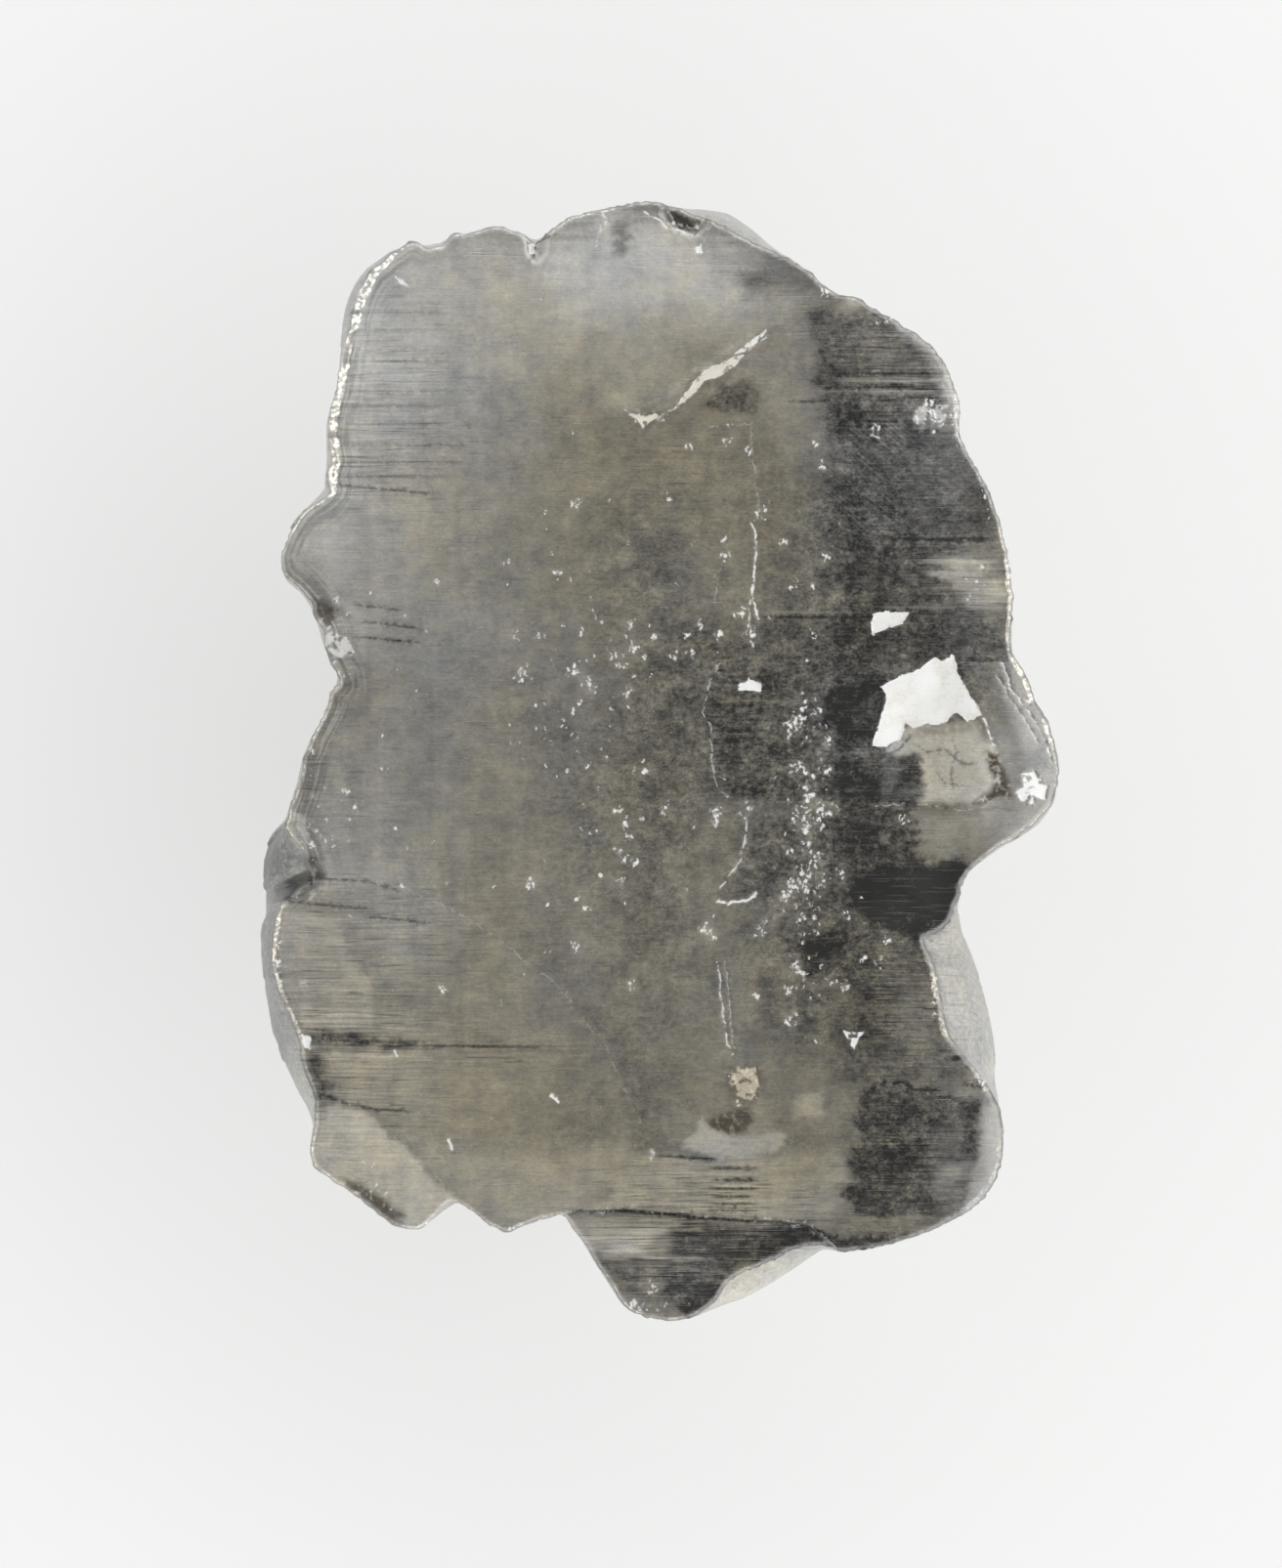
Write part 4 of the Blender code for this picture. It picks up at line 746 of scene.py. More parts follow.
LIGHT_LINES = [
    (0.022, 0.22, [(1.70, 3.91), (2.95, 3.91)]), (0.014, 0.30, [(1.60, 3.79), (2.80, 3.79)]),
    (0.012, 0.30, [(2.30, 2.31), (3.45, 2.31)]), (0.016, 0.35, [(2.60, 2.05), (3.50, 2.05)]),
    (0.014, 0.35, [(2.70, 1.93), (3.52, 1.93)]), (0.014, 0.30, [(2.70, 1.78), (3.52, 1.78)]),
    (0.014, 0.30, [(2.20, 1.58), (3.55, 1.58)]), (0.012, 0.25, [(1.00, 1.54), (2.10, 1.53)]),
    (0.014, 0.35, [(0.45, -4.22), (1.10, -4.22)]), (0.014, 0.35, [(0.45, -4.33), (1.10, -4.33)]),
    (0.014, 0.35, [(0.50, -4.41), (1.05, -4.41)]), (0.012, 0.30, [(0.50, -4.49), (1.00, -4.49)]),
    (0.018, 0.30, [(-3.60, -2.98), (-2.60, -3.02)]), (0.014, 0.25, [(-3.80, -1.60), (-3.00, -1.62)]),
    (0.014, 0.30, [(-0.50, -4.70), (0.60, -4.72), (1.20, -4.78)]),
    (0.012, 0.25, [(0.55, 0.90), (1.20, 0.90)]), (0.016, 0.25, [(-3.35, 3.95), (-2.40, 3.95)]),
    (0.016, 0.25, [(-3.40, 3.32), (-2.40, 3.32)]), (0.016, 0.25, [(-3.35, 4.32), (-2.50, 4.32)]),
    (0.014, 0.25, [(0.60, 0.62), (1.30, 0.62)]), (0.009, 0.22, [(0.66, -0.40), (2.20, -0.42)]),
    (0.010, 0.22, [(0.58, 0.28), (1.02, 0.29)]),
]

# Specks are tiny pits. These are where they lie, and how big each is across.
SPECKS = [
    (1.37, 0.37, 9), (1.63, 0.51, 6), (1.74, 0.24, 7), (1.44, -0.04, 8), (1.74, -0.09, 8),
    (1.54, -0.36, 7), (1.77, -0.50, 8), (1.42, -0.50, 7), (1.51, -0.68, 7), (1.63, -0.96, 8),
    (1.35, -1.24, 9), (1.54, -1.19, 7), (1.28, -1.37, 8), (1.72, -1.24, 7), (1.86, -1.14, 6),
    (1.42, -1.60, 7), (1.90, -1.56, 6), (1.42, -2.13, 7), (1.35, -2.34, 6), (1.74, -2.25, 8),
    (1.90, -2.29, 7), (1.35, -2.66, 7), (0.57, -0.59, 10), (0.06, -0.50, 7), (-0.14, -0.09, 6),
    (0.48, -1.74, 8), (1.03, -1.72, 8), (0.98, -2.39, 6), (-0.28, -2.29, 6), (2.32, -1.83, 7),
    (2.27, -2.02, 6), (2.09, -2.02, 5), (2.50, -0.59, 6), (-0.30, -0.78, 7), (-0.89, 3.36, 4),
    (0.32, 3.21, 5), (0.91, 3.18, 5), (0.68, 3.28, 6), (1.59, 3.30, 7), (1.67, 3.03, 6),
    (-0.85, 2.64, 7), (1.04, 2.56, 9), (0.65, 2.28, 5), (0.68, 2.10, 6), (1.26, 2.25, 5),
    (-0.32, 2.24, 4), (0.11, 2.73, 5), (-1.03, 1.93, 5), (0.62, 1.30, 7), (0.83, 1.53, 7),
    (0.92, 1.33, 8), (-0.06, 1.28, 6), (0.41, 1.42, 5), (0.26, 1.30, 5), (-0.28, 1.17, 7),
    (-0.45, 1.09, 7), (0.14, 1.08, 6), (0.32, 1.09, 7), (1.59, 1.33, 6), (1.72, 2.10, 6),
    (1.35, 1.78, 5), (1.58, 1.81, 6), (1.20, 1.66, 4), (-0.79, 1.33, 5), (-3.30, 1.67, 5),
    (-3.50, 1.68, 4), (-2.96, 1.73, 4), (-2.68, 0.95, 4), (-2.28, 1.83, 5), (-1.56, 1.83, 4),
    (-1.15, 1.58, 4), (-1.23, 1.29, 5), (-1.40, 0.94, 8), (-1.43, 0.85, 5), (-0.85, 0.93, 8),
    (-0.75, 0.82, 8), (-0.67, 0.75, 7), (-0.39, 1.00, 6), (-0.35, 0.72, 7), (-0.59, 1.43, 4),
    (-0.30, 1.40, 6), (-0.27, 1.15, 5), (-0.07, 1.25, 4), (-0.07, 0.93, 4), (-1.44, 1.25, 4),
    (-2.84, 0.25, 4), (-2.84, -0.07, 4), (-3.43, -0.26, 4), (-3.21, -0.29, 5), (-3.26, -0.40, 4),
    (-3.04, -0.42, 4), (-3.12, -0.47, 5), (-3.59, -0.65, 4), (-2.70, -0.68, 4), (-2.58, -0.88, 4),
    (-3.18, -0.80, 4), (-3.67, -0.82, 4), (-3.55, -0.85, 5), (-1.31, -1.25, 7), (-1.70, -1.28, 4),
    (-0.60, -1.15, 5), (-0.43, -1.23, 6), (-0.40, -0.52, 9), (-0.35, -0.66, 7), (-0.39, -0.96, 8),
    (-0.25, -1.02, 6), (-0.83, -1.41, 5), (-0.77, -1.50, 5), (-0.35, -1.45, 4), (-0.85, -1.90, 7),
    (-2.53, -1.96, 4), (-2.83, -2.00, 4), (-2.71, -2.02, 4), (-1.17, -1.95, 4), (-3.67, -2.25, 5),
    (-2.73, -2.33, 4), (-2.24, -2.32, 5), (-0.92, -2.44, 4), (-0.41, -2.27, 4), (-0.30, -2.27, 4),
    (-0.37, -2.60, 4), (-1.30, 3.25, 4), (-1.15, 2.37, 4), (-1.56, 2.05, 5), (-1.34, 1.97, 4),
    (-1.03, 1.92, 4), (2.43, 2.53, 4), (0.70, 3.28, 4), (0.93, 3.18, 4), (1.03, 2.58, 4),
    (1.28, 2.25, 5), (0.58, -0.48, 7), (0.92, -0.45, 6), (1.30, -1.35, 8), (1.41, -2.13, 7),
    (1.41, -0.05, 8), (1.70, -0.08, 6), (3.88, -0.20, 9), (3.82, -0.40, 8), (0.50, -1.72, 7),
    (0.55, -1.80, 6), (1.04, -1.68, 5), (0.75, -3.22, 6), (0.90, -3.18, 7), (1.00, -3.30, 6),
    (0.95, -3.40, 5), (0.80, -3.50, 5), (-0.05, -5.38, 9), (-0.28, -5.55, 6),
]

# Crumbly places, and how many specks are strewn there
STREWN = [
    (-0.70, 0.50, 0.95, 1.70, 110), (1.50, -1.00, 0.20, 1.75, 200), (1.42, 0.42, 0.14, 0.20, 36),
    (1.62, -0.42, 0.14, 0.26, 30), (1.50, -1.28, 0.15, 0.16, 22), (2.80, 3.57, 0.20, 0.13, 70),
    (3.22, 1.85, 0.14, 0.22, 16), (-0.15, 3.50, 0.20, 0.07, 16), (0.85, -3.25, 0.12, 0.18, 16),
    (3.04, 3.55, 0.03, 0.25, 26), (3.34, 2.85, 0.05, 0.20, 16), (3.58, 1.80, 0.03, 0.40, 28),
    (2.35, 4.52, 0.20, 0.04, 14), (1.72, 4.84, 0.08, 0.05, 14), (3.78, 0.75, 0.05, 0.20, 18),
    (0.20, 5.52, 0.20, 0.06, 16), (-0.58, 5.52, 0.06, 0.10, 12), (-2.30, -4.72, 0.22, 0.05, 22),
    (-1.60, -4.78, 0.30, 0.03, 14), (-0.10, -5.58, 0.28, 0.05, 22), (-3.90, -1.90, 0.03, 0.45, 28),
    (-3.58, 0.10, 0.05, 0.30, 22), (2.82, -2.25, 0.04, 0.35, 28), (-3.35, 1.25, 0.16, 0.45, 50),
    (3.30, -3.25, 0.10, 0.10, 26), (-3.50, -0.75, 0.16, 0.22, 24), (-1.00, 0.00, 2.60, 3.40, 70),
    (-3.00, -4.40, 0.28, 0.20, 26),
]
SPECK_STEP = 0.0052
SHORT_STEP = 0.04
SHIFT_WAVES = ((0.62, 0.45), (0.23, 0.40), (0.085, 0.35))


def roughened(line, closed, amount, seed):
    """A line in short steps, shifted by large and small waves, so that it looks broken, not drawn."""
    points = np.array(line + line[:1]) if closed else np.array(line)
    fine = []
    for start, end in zip(points[:-1], points[1:]):
        steps = max(1, round(np.linalg.norm(end - start) / SHORT_STEP))
        fine += [start + (end - start) * step / steps for step in range(steps)]
    if not closed:
        fine.append(points[-1])
    fine = np.array(fine)
    shift = np.zeros_like(fine)
    for size, share in SHIFT_WAVES:
        shift[:, 0] += share * waves(fine, size, seed)
        shift[:, 1] += share * waves(fine, size, seed + 500)
    return fine + amount * shift


def broken(rows, closed, amount, seed):
    """Rows of marks with their lines roughened, each with a seed of its own."""
    return [
        (*values, roughened(line, closed, amount, seed + index))
        for index, (*values, line) in enumerate(rows)]


def near_points(points, outline, margin):
    """Which points are in a mark's box or close outside it."""
    low, high = outline.min(axis=0) - margin, outline.max(axis=0) + margin
    return np.flatnonzero(((points > low) & (points < high)).all(axis=1))


def rows_beside(line, closed, offsets, step):
    """Points in rows beside a line, so that the mesh can hold a sharp edge there."""
    ends = np.roll(line, -1, axis=0) if closed else line[1:]
    rows = []
    for start, end in zip(line if closed else line[:-1], ends):
        side = end - start
        length = np.linalg.norm(side)
        if length < 1e-6:
            continue
        normal = np.array([-side[1], side[0]]) / length
        steps = max(1, round(length / step))
        for share in np.arange(steps) / steps:
            rows += [start + side * share + normal * offset for offset in offsets]
    return rows


def cover(points, outline, softness):
    """How much each point is covered by a patch, from 0 to 1 across its soft edge."""
    share = np.zeros(len(points))
    chosen = near_points(points, outline, softness)
    share[chosen] = smooth(0.5 + 0.5 * depth_inside(points[chosen], outline) / softness)
    return share


def open_line_distance(points, line):
    """Each point's distance to a line of several straight lengths."""
    nearest = np.full(len(points), np.inf)
    for start, end in zip(line[:-1], line[1:]):
        nearest = np.minimum(nearest, line_distance(points, start, end))
    return nearest


def line_cover(points, line, width):
    """How much each point is covered by a thin line, whose width is a little uneven."""
    share = np.zeros(len(points))
    chosen = near_points(points, line, 2.0 * width + 0.02)
    uneven = width * (1.0 + 0.45 * waves(points[chosen], 0.11, 9))
    share[chosen] = smooth(1.5 - open_line_distance(points[chosen], line) / uneven)
    return share


def washed(points, washes):
    """How much the washes change each point, by how near it is to them."""
    change = np.zeros(len(points))
    for x, y, reach_x, reach_y, strength in washes:
        away = ((points[:, 0] - x) / reach_x) ** 2 + ((points[:, 1] - y) / reach_y) ** 2
        change += strength * np.exp(-away)
    return change


speck_rng = np.random.default_rng(41)
specks = []
for x, y, size in SPECKS:
    for _ in range(1 if size < 5 else size + 1):
        spread = 0.80 * SPECK_STEP * size * (size > 4)
        specks.append((
            x + speck_rng.normal() * spread, y + speck_rng.normal() * spread,
            SPECK_STEP * speck_rng.uniform(1.6, 4.4), speck_rng.uniform(0.45, 1.0)))
for x, y, reach_x, reach_y, number in STREWN:
    for _ in range(number):
        specks.append((
            x + speck_rng.normal(0.0, 0.55) * reach_x, y + speck_rng.normal(0.0, 0.55) * reach_y,
            SPECK_STEP * speck_rng.uniform(1.8, 5.2), speck_rng.uniform(0.15, 0.95)))
chips_and_highlights = broken(CHIPS_AND_HIGHLIGHTS, True, 0.016, 50)
cracks = broken(CRACKS, False, 0.022, 70)
stains = broken(STAINS, True, 0.030, 110)
patches = broken(MILKY_AND_HIGHLIGHT_PATCHES + PAINTED_SHADE_PATCHES + GLINTS, True, 0.045, 130)

# The stone's mesh: points in rows on the face, thick along the layers and thin across them, with
# rows of their own at cracks, chips and specks, a sharp rim, and rings down the walls to the flat
# underneath.
ROW_ALONG = 0.066
ROW_ACROSS = 0.026
CLEAR_OF_RIM = 0.024
MARK_CLEARANCE = 0.012
RIM_ROWS = np.array([0.032, 0.062, 0.095])
MEAN_REACH = 4.2
LINE_ROWS = np.array([-1.4, -0.4, 0.4, 1.4])
SHARP_ENOUGH = 0.05
rim_count = len(rim_plan)
inset = (rim_plan - MIDDLE) * (1.0 - RIM_ROWS[:, None, None] / MEAN_REACH) + MIDDLE
mark_points = list(inset.reshape(-1, 2))
for _, outline in chips_and_highlights:
    mark_points += rows_beside(outline, True, (-0.007, 0.007), 0.03)
for width, _, line in cracks:
    mark_points += rows_beside(line, False, LINE_ROWS * width, 0.03)
for width, _, line in DARK_LINES + LIGHT_LINES:
    mark_points += rows_beside(np.array(line), False, LINE_ROWS * width, 0.05)
for _, softness, outline in patches:
    if softness <= SHARP_ENOUGH:
        mark_points += rows_beside(outline, True, (-0.6 * softness, 0.6 * softness), 0.04)
speck_turns = []
for x, y, size, _ in specks:
    turn = speck_rng.normal(0.5 * math.pi, 0.6)
    speck_turns.append((turn, speck_rng.uniform(0.30, 0.75)))
    for corner in range(6):
        angle = turn + math.pi * corner / 3.0
        for share in (0.75, 1.35):
            out = size * share
            mark_points.append(np.array([x + out * math.cos(angle), y + out * math.sin(angle)]))
mark_points = np.array(mark_points)
mark_points = mark_points[depth_inside(mark_points, rim_plan) > CLEAR_OF_RIM]
cells = np.round(mark_points / MARK_CLEARANCE).astype(int)
_, firsts = np.unique(cells, axis=0, return_index=True)
mark_points = mark_points[np.sort(firsts)]

across, along = np.meshgrid(
    np.arange(-4.2, 4.2, ROW_ALONG), np.arange(-5.85, 5.85, ROW_ACROSS))
across[1::2] += ROW_ALONG / 2.0
grid = np.column_stack([across.ravel(), along.ravel()])
grid += np.random.default_rng(1).uniform(-0.15, 0.15, grid.shape) * [ROW_ALONG, ROW_ACROSS]
grid = grid[depth_inside(grid, rim_plan) > CLEAR_OF_RIM]
flat_points = [Vector(place) for place in np.vstack([rim_plan, grid, mark_points])]
loop = [(index, (index + 1) % rim_count) for index in range(rim_count)]
places, _, triangles, sources, _, _ = delaunay_2d_cdt(flat_points, loop, [], 1, 1e-7)
rim_slots = {source: slot for slot, origin in enumerate(sources) for source in origin}
plan = np.array([tuple(place) for place in places])
from_rim = edge_distance(plan, rim_plan[::3])
from_rim[[rim_slots[index] for index in range(rim_count)]] = 0.0
heights = face_height(plan, from_rim)
bevel_angle, bevel_tilt, bevel_height, bevel_reach = FACETS[-1]
bevel_turn, bevel_lean = math.radians(bevel_angle), math.radians(bevel_tilt)
beyond = (plan - MIDDLE) @ np.array([math.cos(bevel_turn), math.sin(bevel_turn)]) - bevel_reach
heights = np.minimum(heights, bevel_height - beyond / math.tan(-bevel_lean))

# Every mark goes on to the mesh's points: its tone, with its painted highlights and shade, how warm
# it is, how crushed and white, with the painted highlights of the bright pit and the glints among
# the white, and how stained. Growth layers break the edges of the soft patches into short teeth.
TOOTH = 1.3
HAZE = 0.007
HAZE_REACH = 0.09
LINE_FADE = 0.14
CRUSH_DEPTH = 0.010
CHIP_EDGE = 0.008
SPECK_BOX = 0.12
tone = PLAIN_TONE + washed(plan, TONE_WASHES)
warmth = PLAIN_WARMTH + washed(plan, WARM_WASHES)
lining = PLAIN_LINING + washed(plan, LINING_WASHES)
teeth = layer_ends(plan[:, 1], 0.045, 31) + 0.7 * layer_ends(plan[:, 1], 0.16, 32) - 0.85
for patch_tone, softness, outline in patches:
    toothed = plan + np.column_stack([TOOTH * teeth * softness, np.zeros(len(plan))])
    share = cover(toothed, outline, softness)
    tone += share * (patch_tone - tone)
tone += washed(plan, LATE_WASHES)
tone += washed(plan, [(x, y, HAZE_REACH, HAZE_REACH, HAZE * size) for x, y, size in SPECKS if size > 5])
for lines, line_tone in ((DARK_LINES, 0.10), (LIGHT_LINES, 0.75)):
    for width, strength, line in lines:
        line = np.array(line)
        from_start, from_end = (np.hypot(*(plan - place).T) for place in (line[0], line[-1]))
        fade = smooth(from_start / LINE_FADE) * smooth(from_end / LINE_FADE)
        tone += line_cover(plan, line, width) * strength * fade * (line_tone - tone)
rim_white_and_highlight = np.zeros(len(plan))
for x, y, reach, change in RIM_WHITE_AND_HIGHLIGHTS:
    away = np.hypot(plan[:, 0] - x, plan[:, 1] - y) / reach
    rim_white_and_highlight = np.maximum(rim_white_and_highlight, change * smooth(1.6 - away))
rim_width = np.full(len(plan), PLAIN_RIM_WIDTH)
for extra, x, x_span, y, y_span in WIDER_RIM:
    rim_width += extra * smooth((plan[:, 0] - x) / x_span) * smooth((plan[:, 1] - y) / y_span)
terraces = smooth(1.0 - from_rim / 0.40) * smooth((-2.3 - plan[:, 0]) / 0.4)
terraces *= 0.25 + 0.75 * smooth((plan[:, 1] + 1.6) / 0.6)
scratched = washed(plan, [(2.25, 2.95, 0.60, 0.85, 1.0), (2.40, -3.90, 0.40, 0.45, 0.5)])
stain = np.zeros(len(plan))
for softness, strength, outline in stains:
    stain = np.maximum(stain, strength * cover(plan, outline, softness))
frost_and_highlight = np.zeros(len(plan))
for strength, outline in chips_and_highlights:
    frost_and_highlight = np.maximum(frost_and_highlight, strength * cover(plan, outline, CHIP_EDGE))
for width, strength, line in cracks:
    frost_and_highlight = np.maximum(frost_and_highlight, strength * line_cover(plan, line, width))
for (x, y, size, strength), (turn, slenderness) in zip(specks, speck_turns):
    chosen = np.flatnonzero((np.abs(plan - (x, y)) < SPECK_BOX).all(axis=1))
    rel = plan[chosen] - (x, y)
    long_way = rel @ np.array([math.cos(turn), math.sin(turn)])
    short_way = rel @ np.array([-math.sin(turn), math.cos(turn)])
    gap = np.hypot(long_way, short_way / slenderness) / size
    frost_and_highlight[chosen] = np.maximum(frost_and_highlight[chosen], strength * smooth(2.0 * (1.3 - gap)))
heights -= CRUSH_DEPTH * np.minimum(frost_and_highlight, 1.0)

corners = [np.column_stack([plan, heights])]
rings = []
upper_heights = heights[[rim_slots[index] for index in range(rim_count)]]
for row in range(1, UPPER_ROWS + 1):
    share_down = (row / UPPER_ROWS) ** 1.5
    share_out = np.interp(share_down, *np.array(UPPER_RINGS).T)
    ring_heights = (1.0 - share_down) * upper_heights + share_down * GIRDLE_Z
    rings.append(wall_ring(ring_heights, share_out, 1.0))
for row in range(1, LOWER_ROWS + 1):
    height = GIRDLE_Z * (1.0 - row / LOWER_ROWS)
    scale = np.interp(height, *np.array(LOWER_RINGS).T)
    rings.append(wall_ring(np.full(rim_count, height), 1.0, scale))
floor_middle = np.append(rings[-1][:, :2].mean(axis=0), REST_Z)
corners += rings
corners.append(floor_middle[None, :])
corners = np.vstack(corners)
corners = np.clip(corners, np.array(cad_box[0]) / MM, np.array(cad_box[1]) / MM)

faces = [tuple(triangle) for triangle in triangles]
upper = [rim_slots[index] for index in range(rim_count)]
first = len(plan)
for _ in rings:
    lower = list(range(first, first + rim_count))
    first += rim_count
    for index in range(rim_count):
        ahead = (index + 1) % rim_count
        faces.append((upper[index], lower[index], lower[ahead], upper[ahead]))
    upper = lower
for index in range(rim_count):
    faces.append((upper[index], first, upper[(index + 1) % rim_count]))

stone_mesh = bpy.data.meshes.new("rough_diamond_crystal")
stone_mesh.from_pydata((corners * MM).tolist(), [], faces)
wall_count = len(corners) - len(plan)
wall_places = corners[len(plan):]
# The walls' tone has painted shade: darker along their top under the rim, and on the left walls, which
# face away from the light, darkest in the left cavity
WALL_TONE = 0.54
WALL_WARMTH = 0.35
WALL_LINING = 0.25
TOP_SHADE = 0.10
TOP_SHADE_FROM = 3.95
WALL_WASHES = [
    (-3.95, -0.95, 0.30, 0.25, -0.26), (-4.08, -2.00, 0.25, 0.80, -0.21),
    (1.20, -5.25, 0.60, 0.30, 0.10), (3.20, -2.40, 0.50, 0.90, 0.02), (-3.60, 2.70, 0.40, 0.50, 0.04),
    (3.60, -3.90, 0.30, 0.60, -0.04), (-3.84, -1.31, 0.10, 0.09, -0.65),
    (-4.10, -0.90, 0.20, 0.40, -0.17), (-4.05, -3.00, 0.25, 0.50, -0.19),
    (0.80, -5.50, 0.30, 0.15, 0.08), (2.00, -5.05, 0.60, 0.15, -0.04),
    (3.10, -1.20, 0.20, 0.40, -0.10),
]
wall_tone = WALL_TONE + washed(wall_places, WALL_WASHES)
wall_tone -= TOP_SHADE * smooth((wall_places[:, 2] - TOP_SHADE_FROM) / 0.2)
marks = {
    "tone": np.append(tone, wall_tone),
    "warmth": np.append(warmth, np.full(wall_count, WALL_WARMTH)),
    "lining": np.append(lining, np.full(wall_count, WALL_LINING)),
    "rim_white_and_highlight": np.append(rim_white_and_highlight, np.zeros(wall_count)),
    "terraces": np.append(terraces, np.zeros(wall_count)),
    "rim_width": np.append(rim_width, np.full(wall_count, PLAIN_RIM_WIDTH)),
    "scratched": np.append(scratched, np.zeros(wall_count)),
    "stain": np.append(stain, np.zeros(wall_count)),
    "frost_and_highlight": np.append(frost_and_highlight, np.zeros(wall_count)),
    "wall": np.append(np.zeros(len(plan)), np.ones(wall_count)),
    "from_rim": np.append(from_rim, np.zeros(wall_count)),
}
for name, values in marks.items():
    layer = stone_mesh.attributes.new(name, "FLOAT", "POINT")
    layer.data.foreach_set("value", values.astype(np.float32))
stone_mesh.shade_smooth()
stone_mesh.set_sharp_from_angle(angle=math.radians(48.0))
stone = bpy.data.objects.new("rough_diamond_crystal", stone_mesh)
bpy.context.scene.collection.objects.link(stone)


# The crystal is diamond, cloudy with fine inclusions: part of the light passes through it, and
# the rest scatters just under its skin. The face is finely lined where growth layers end on it.
class Strand:
    """A socket of the crystal's shader. Arithmetic on it adds Math nodes."""

    tree = None

    def __init__(self, socket):
        self.socket = socket

    @classmethod
    def node(cls, kind, settings=None, inputs=None, output=0):
        """A new node, with its settings and then its sockets' values or links."""
        made = cls.tree.nodes.new(kind)
        for name, value in (settings or {}).items():
            setattr(made, name, value)
        for name, value in (inputs or {}).items():
            if isinstance(value, cls):
                cls.tree.links.new(value.socket, made.inputs[name])
            else:
                made.inputs[name].default_value = value
        return cls(made.outputs[output]) if made.outputs else made

    def maths(self, operation, first, second):
        """A Math node of two values."""
        return self.node("ShaderNodeMath", {"operation": operation}, {0: first, 1: second})

    def __add__(self, other):
        return self.maths("ADD", self, other)

    def __radd__(self, other):
        return self.maths("ADD", other, self)

    def __sub__(self, other):
        return self.maths("SUBTRACT", self, other)

    def __rsub__(self, other):
        return self.maths("SUBTRACT", other, self)

    def __mul__(self, other):
        return self.maths("MULTIPLY", self, other)

    def __rmul__(self, other):
        return self.maths("MULTIPLY", other, self)

    def __pow__(self, other):
        return self.maths("POWER", self, other)

    def between(self, low, high):
        """An even S from 0 at low to 1 at high."""
        return self.node("ShaderNodeMapRange", {"interpolation_type": "SMOOTHSTEP"}, {
            "Value": self, "From Min": low, "From Max": high})


def attribute(name):
    """One of the marks on the mesh's points."""
    return Strand.node("ShaderNodeAttribute", {"attribute_name": name}, output="Fac")


def noise(x, y, z, detail):
    """An uneven pattern from 0 to 1, with so many finer layers in it."""
    place = Strand.node("ShaderNodeCombineXYZ", None, {"X": x, "Y": y, "Z": z})
    return Strand.node("ShaderNodeTexNoise", None, {
        "Vector": place, "Scale": 1.0, "Detail": detail, "Roughness": 0.55})


def blend(share, first, second):
    """A mix of two colours."""
    return Strand.node("ShaderNodeMix", {"data_type": "RGBA"}, {0: share, 6: first, 7: second}, 2)


def tinted(tint, lightness):
    """A tint, made lighter or darker."""
    return Strand.node("ShaderNodeVectorMath", {"operation": "SCALE"}, {
        0: tint, "Scale": lightness})


diamond = bpy.data.materials.new("cloudy diamond")
diamond.use_nodes = True
diamond.node_tree.nodes.clear()
Strand.tree = diamond.node_tree
spot = Strand.node("ShaderNodeTexCoord", output="Object")
split = Strand.node("ShaderNodeSeparateXYZ", None, {0: spot}).socket.node
across = Strand(split.outputs[0]) * (1.0 / MM)
along = Strand(split.outputs[1]) * (1.0 / MM)
height = Strand(split.outputs[2]) * (1.0 / MM)
layers = along - LAYER_LEAN * Strand.node(
    "ShaderNodeMath", {"operation": "MINIMUM"}, {0: height, 1: 3.6})

# Each pattern is a noise, long across the stone and thin along it where it follows the layers. Its
# factors are in waves per millimetre.
long_lines = noise(across * 0.9, layers * 40.0, height * 0.9, 1.0)
broad_lines = noise(across * 1.1, layers * 12.0, height * 1.1, 1.0)
short_lines = noise(across * 4.0, layers * 58.0, height * 4.0, 1.0)
dashes = noise(across * 2.4, layers * 50.0, height * 2.4, 0.0).between(0.62, 0.74)
columns = noise(across * 6.5, along * 0.7, 6.1, 1.0)
cloud = noise(across * 0.9, along * 0.6, height * 0.9, 2.0)
mottle = noise(across * 5.0, along * 5.5, height * 5.0, 3.0)
blotches = noise(across * 2.2, along * 2.6, 2.9, 2.0)
grain = noise(across * 34.0, along * 42.0, height * 34.0, 2.0)
scuffs = noise(across * 15.0, along * 18.0, height * 15.0, 2.0)
from_rim_mm = attribute("from_rim")
terrace_lines = noise(from_rim_mm * 32.0, along * 2.2, 4.7, 0.0)
slant = 0.78 * across - 0.62 * along
down_slant = 0.62 * across + 0.78 * along
scratches = noise(slant * 2.4, down_slant * 60.0, height, 0.0).between(0.62, 0.72)
# Sparkles are painted glints, tiny bright points added to the colour
sparkles = noise(across * 52.0, along * 58.0, height * 52.0, 1.0).between(0.64, 0.74)

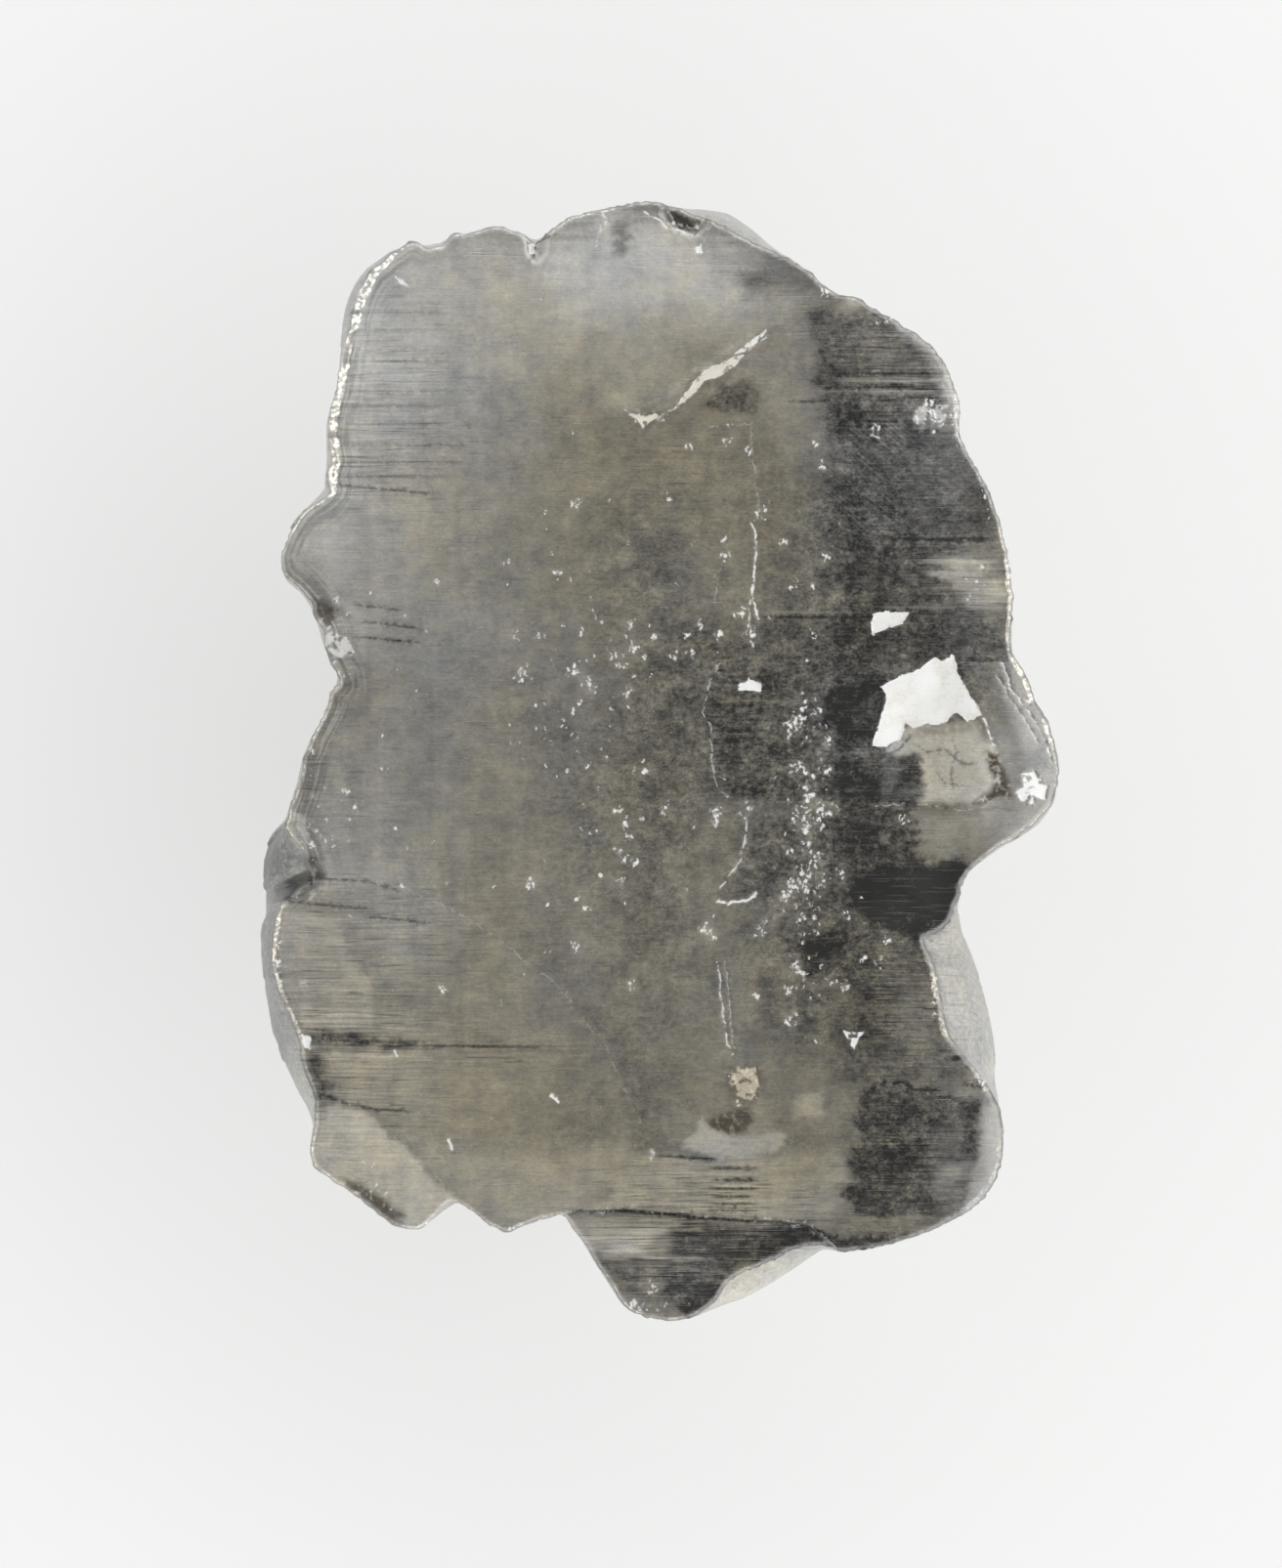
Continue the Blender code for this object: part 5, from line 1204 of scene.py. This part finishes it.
DARKEST = 0.14
wall_share = attribute("wall")
tone_mark = attribute("tone")
darkness = 1.0 - tone_mark.between(0.26, 0.46)
lining_mark = attribute("lining")
rim_breaks = noise(across * 7.0, along * 9.0, 1.3, 1.0)
inner_side = (attribute("rim_width") * (0.55 + 0.9 * rim_breaks) - from_rim_mm) * 60.0
rim_band = from_rim_mm.between(0.008, 0.018) * inner_side.between(0.0, 0.5) * (1.0 - wall_share)
crumbs = noise(across * 24.0, along * 26.0, 2.2, 1.0).between(0.42, 0.58)
# Along parts of the rim's crushed edge, its own white and a painted highlight lighten the colour
rim_white_and_painted_highlight = rim_band * attribute("rim_white_and_highlight") * rim_breaks.between(0.30, 0.52) * (0.28 + 0.76 * crumbs)
# A thin painted shade runs just inside the rim
outline_shade = (1.0 - from_rim_mm.between(0.010, 0.028)) * (1.0 - wall_share)
lightness = (
    tone_mark
    + (long_lines - 0.5) * lining_mark * 0.32
    + (broad_lines - 0.5) * lining_mark * 0.12
    + (short_lines - 0.5) * (0.04 + 0.20 * lining_mark)
    - dashes * (0.025 + 0.17 * lining_mark)
    + (terrace_lines.between(0.38, 0.62) - 0.42) * attribute("terraces") * 0.15
    + (cloud - 0.5) * 0.16
    + (columns - 0.5) * 0.08
    + (mottle - 0.5) * (0.17 + 0.22 * darkness)
    + (blotches - 0.5) * (0.12 + 0.24 * darkness)
    + (scuffs - 0.5) * (0.12 + 0.35 * darkness + 0.22 * wall_share)
    + (grain - 0.5) * (0.14 + 0.26 * darkness)
    + sparkles * (0.03 + 0.10 * darkness)
    + scratches * attribute("scratched") * 0.11
    + rim_white_and_painted_highlight * 0.50
    - outline_shade * 0.08)
lightness = Strand.node("ShaderNodeMath", {"operation": "MAXIMUM"}, {0: lightness, 1: DARKEST})

# The tone becomes a colour, from neutral to olive grey
NEUTRAL = (0.98, 1.00, 1.02)
OLIVE = (1.03, 0.915, 0.635)
IRON = (0.080, 0.062, 0.045, 1.0)
CHALK_AND_HIGHLIGHT_WHITE = (0.78, 0.78, 0.765, 1.0)
CREAM = (0.70, 0.68, 0.62, 1.0)
TAN = (0.50, 0.40, 0.20, 1.0)
reflected = (lightness ** 2.2) * 1.45 - 0.015
grey = tinted(NEUTRAL, reflected)
warm_grey = tinted(OLIVE, reflected)
warmth_here = attribute("warmth") + (cloud - 0.5) * 1.2 + (mottle - 0.5) * 0.8 + rim_white_and_painted_highlight * 0.3
crystal_colour = blend(warmth_here.between(-0.3, 1.3), grey, warm_grey)
stain_share = attribute("stain") * noise(across * 14.0, along * 14.0, 3.1, 2.0).between(0.30, 0.52)
crystal_colour = blend(stain_share, crystal_colour, IRON)

relief = long_lines * lining_mark * 0.9 + short_lines * 0.4 + grain * 0.4 - dashes * 0.3
worn = Strand.node("ShaderNodeBump", None, {
    "Strength": 0.35, "Distance": 0.000012, "Height": relief})
crystal = Strand.node("ShaderNodeBsdfPrincipled", None, {
    "Base Color": crystal_colour, "Roughness": 0.31, "IOR": 2.42,
    "Transmission Weight": 0.30, "Specular IOR Level": 0.35, "Normal": worn})
# The crushed places, and the painted highlights of the bright pit and the glints, take a chalky white
crumbling = (mottle * 0.6 + grain * 0.4).between(0.46, 0.66)
chalk_and_highlight_colour = blend(crumbling, CHALK_AND_HIGHLIGHT_WHITE, CREAM)
chalk_and_highlight_colour = blend(attribute("stain"), chalk_and_highlight_colour, TAN)
crushed_and_highlight_shader = Strand.node("ShaderNodeBsdfPrincipled", None, {
    "Base Color": chalk_and_highlight_colour, "Roughness": 0.6, "IOR": 1.6, "Normal": worn})
flakes = noise(across * 11.0, along * 13.0, height * 11.0, 2.0).between(0.36, 0.50)
frost_and_highlight_share = (attribute("frost_and_highlight") * (0.40 + 0.95 * flakes)).between(0.15, 1.05)
surface = Strand.node("ShaderNodeMixShader", None, {0: frost_and_highlight_share, 1: crystal, 2: crushed_and_highlight_shader})
absorbed = Strand.node("ShaderNodeVolumeAbsorption", None, {
    "Color": (0.80, 0.78, 0.70, 1.0), "Density": 420.0})
Strand.node("ShaderNodeOutputMaterial", None, {"Surface": surface, "Volume": absorbed})
stone_mesh.materials.append(diamond)
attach(stone, "root")
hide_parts("rough_diamond")

# The floor is a plain pale sheet, a little self-lit, as a light table is.
bpy.ops.mesh.primitive_plane_add(size=0.6, location=(0.0, 0.0, 0.0))
floor = bpy.context.object
floor.name = "floor"
paper = bpy.data.materials.new("pale floor")
paper.use_nodes = True
paper_shader = paper.node_tree.nodes["Principled BSDF"]
paper_shader.inputs["Base Color"].default_value = (0.50, 0.50, 0.495, 1.0)
paper_shader.inputs["Roughness"].default_value = 0.9
paper_shader.inputs["Emission Color"].default_value = (0.99, 1.0, 0.995, 1.0)
paper_shader.inputs["Emission Strength"].default_value = 0.40
floor.data.materials.append(paper)

# Soft studio light: white screens all round, and a dark patch straight above, where the camera
# looks through.
world = bpy.data.worlds.new("studio")
bpy.context.scene.world = world
world.use_nodes = True
Strand.tree = world.node_tree
heading = Strand.node("ShaderNodeTexCoord", output="Generated")
sky = Strand.node("ShaderNodeSeparateXYZ", None, {0: heading}).socket.node
upward = Strand(sky.outputs[2])
rightward = Strand(sky.outputs[0])
SCREEN_LIGHT = 1.9
screen = SCREEN_LIGHT * (1.0 + 0.34 * rightward) * (1.0 - 0.96 * upward.between(0.55, 0.93))
background = world.node_tree.nodes["Background"]
world.node_tree.links.new(tinted((1.0, 1.0, 1.0), screen).socket, background.inputs["Color"])
bpy.context.scene.view_settings.view_transform = "Standard"

# The camera looks straight down on the face. Its frame is 13.12 mm wide and 16.05 mm tall there.
FRAME_HEIGHT = 16.05
FRAME_MIDDLE = (-0.19, -0.225)
LENS = 400.0
SENSOR = 36.0
camera_data = bpy.data.cameras.new("camera")
camera_data.lens = LENS
camera_data.sensor_fit = "VERTICAL"
camera_data.sensor_height = SENSOR
camera_distance = FRAME_HEIGHT * LENS / SENSOR
camera = bpy.data.objects.new("camera", camera_data)
camera.location = (FRAME_MIDDLE[0] * MM, FRAME_MIDDLE[1] * MM, (FACE_Z + camera_distance) * MM)
camera_data.clip_start = 0.001
camera_data.clip_end = 10.0
bpy.context.scene.collection.objects.link(camera)
bpy.context.scene.camera = camera
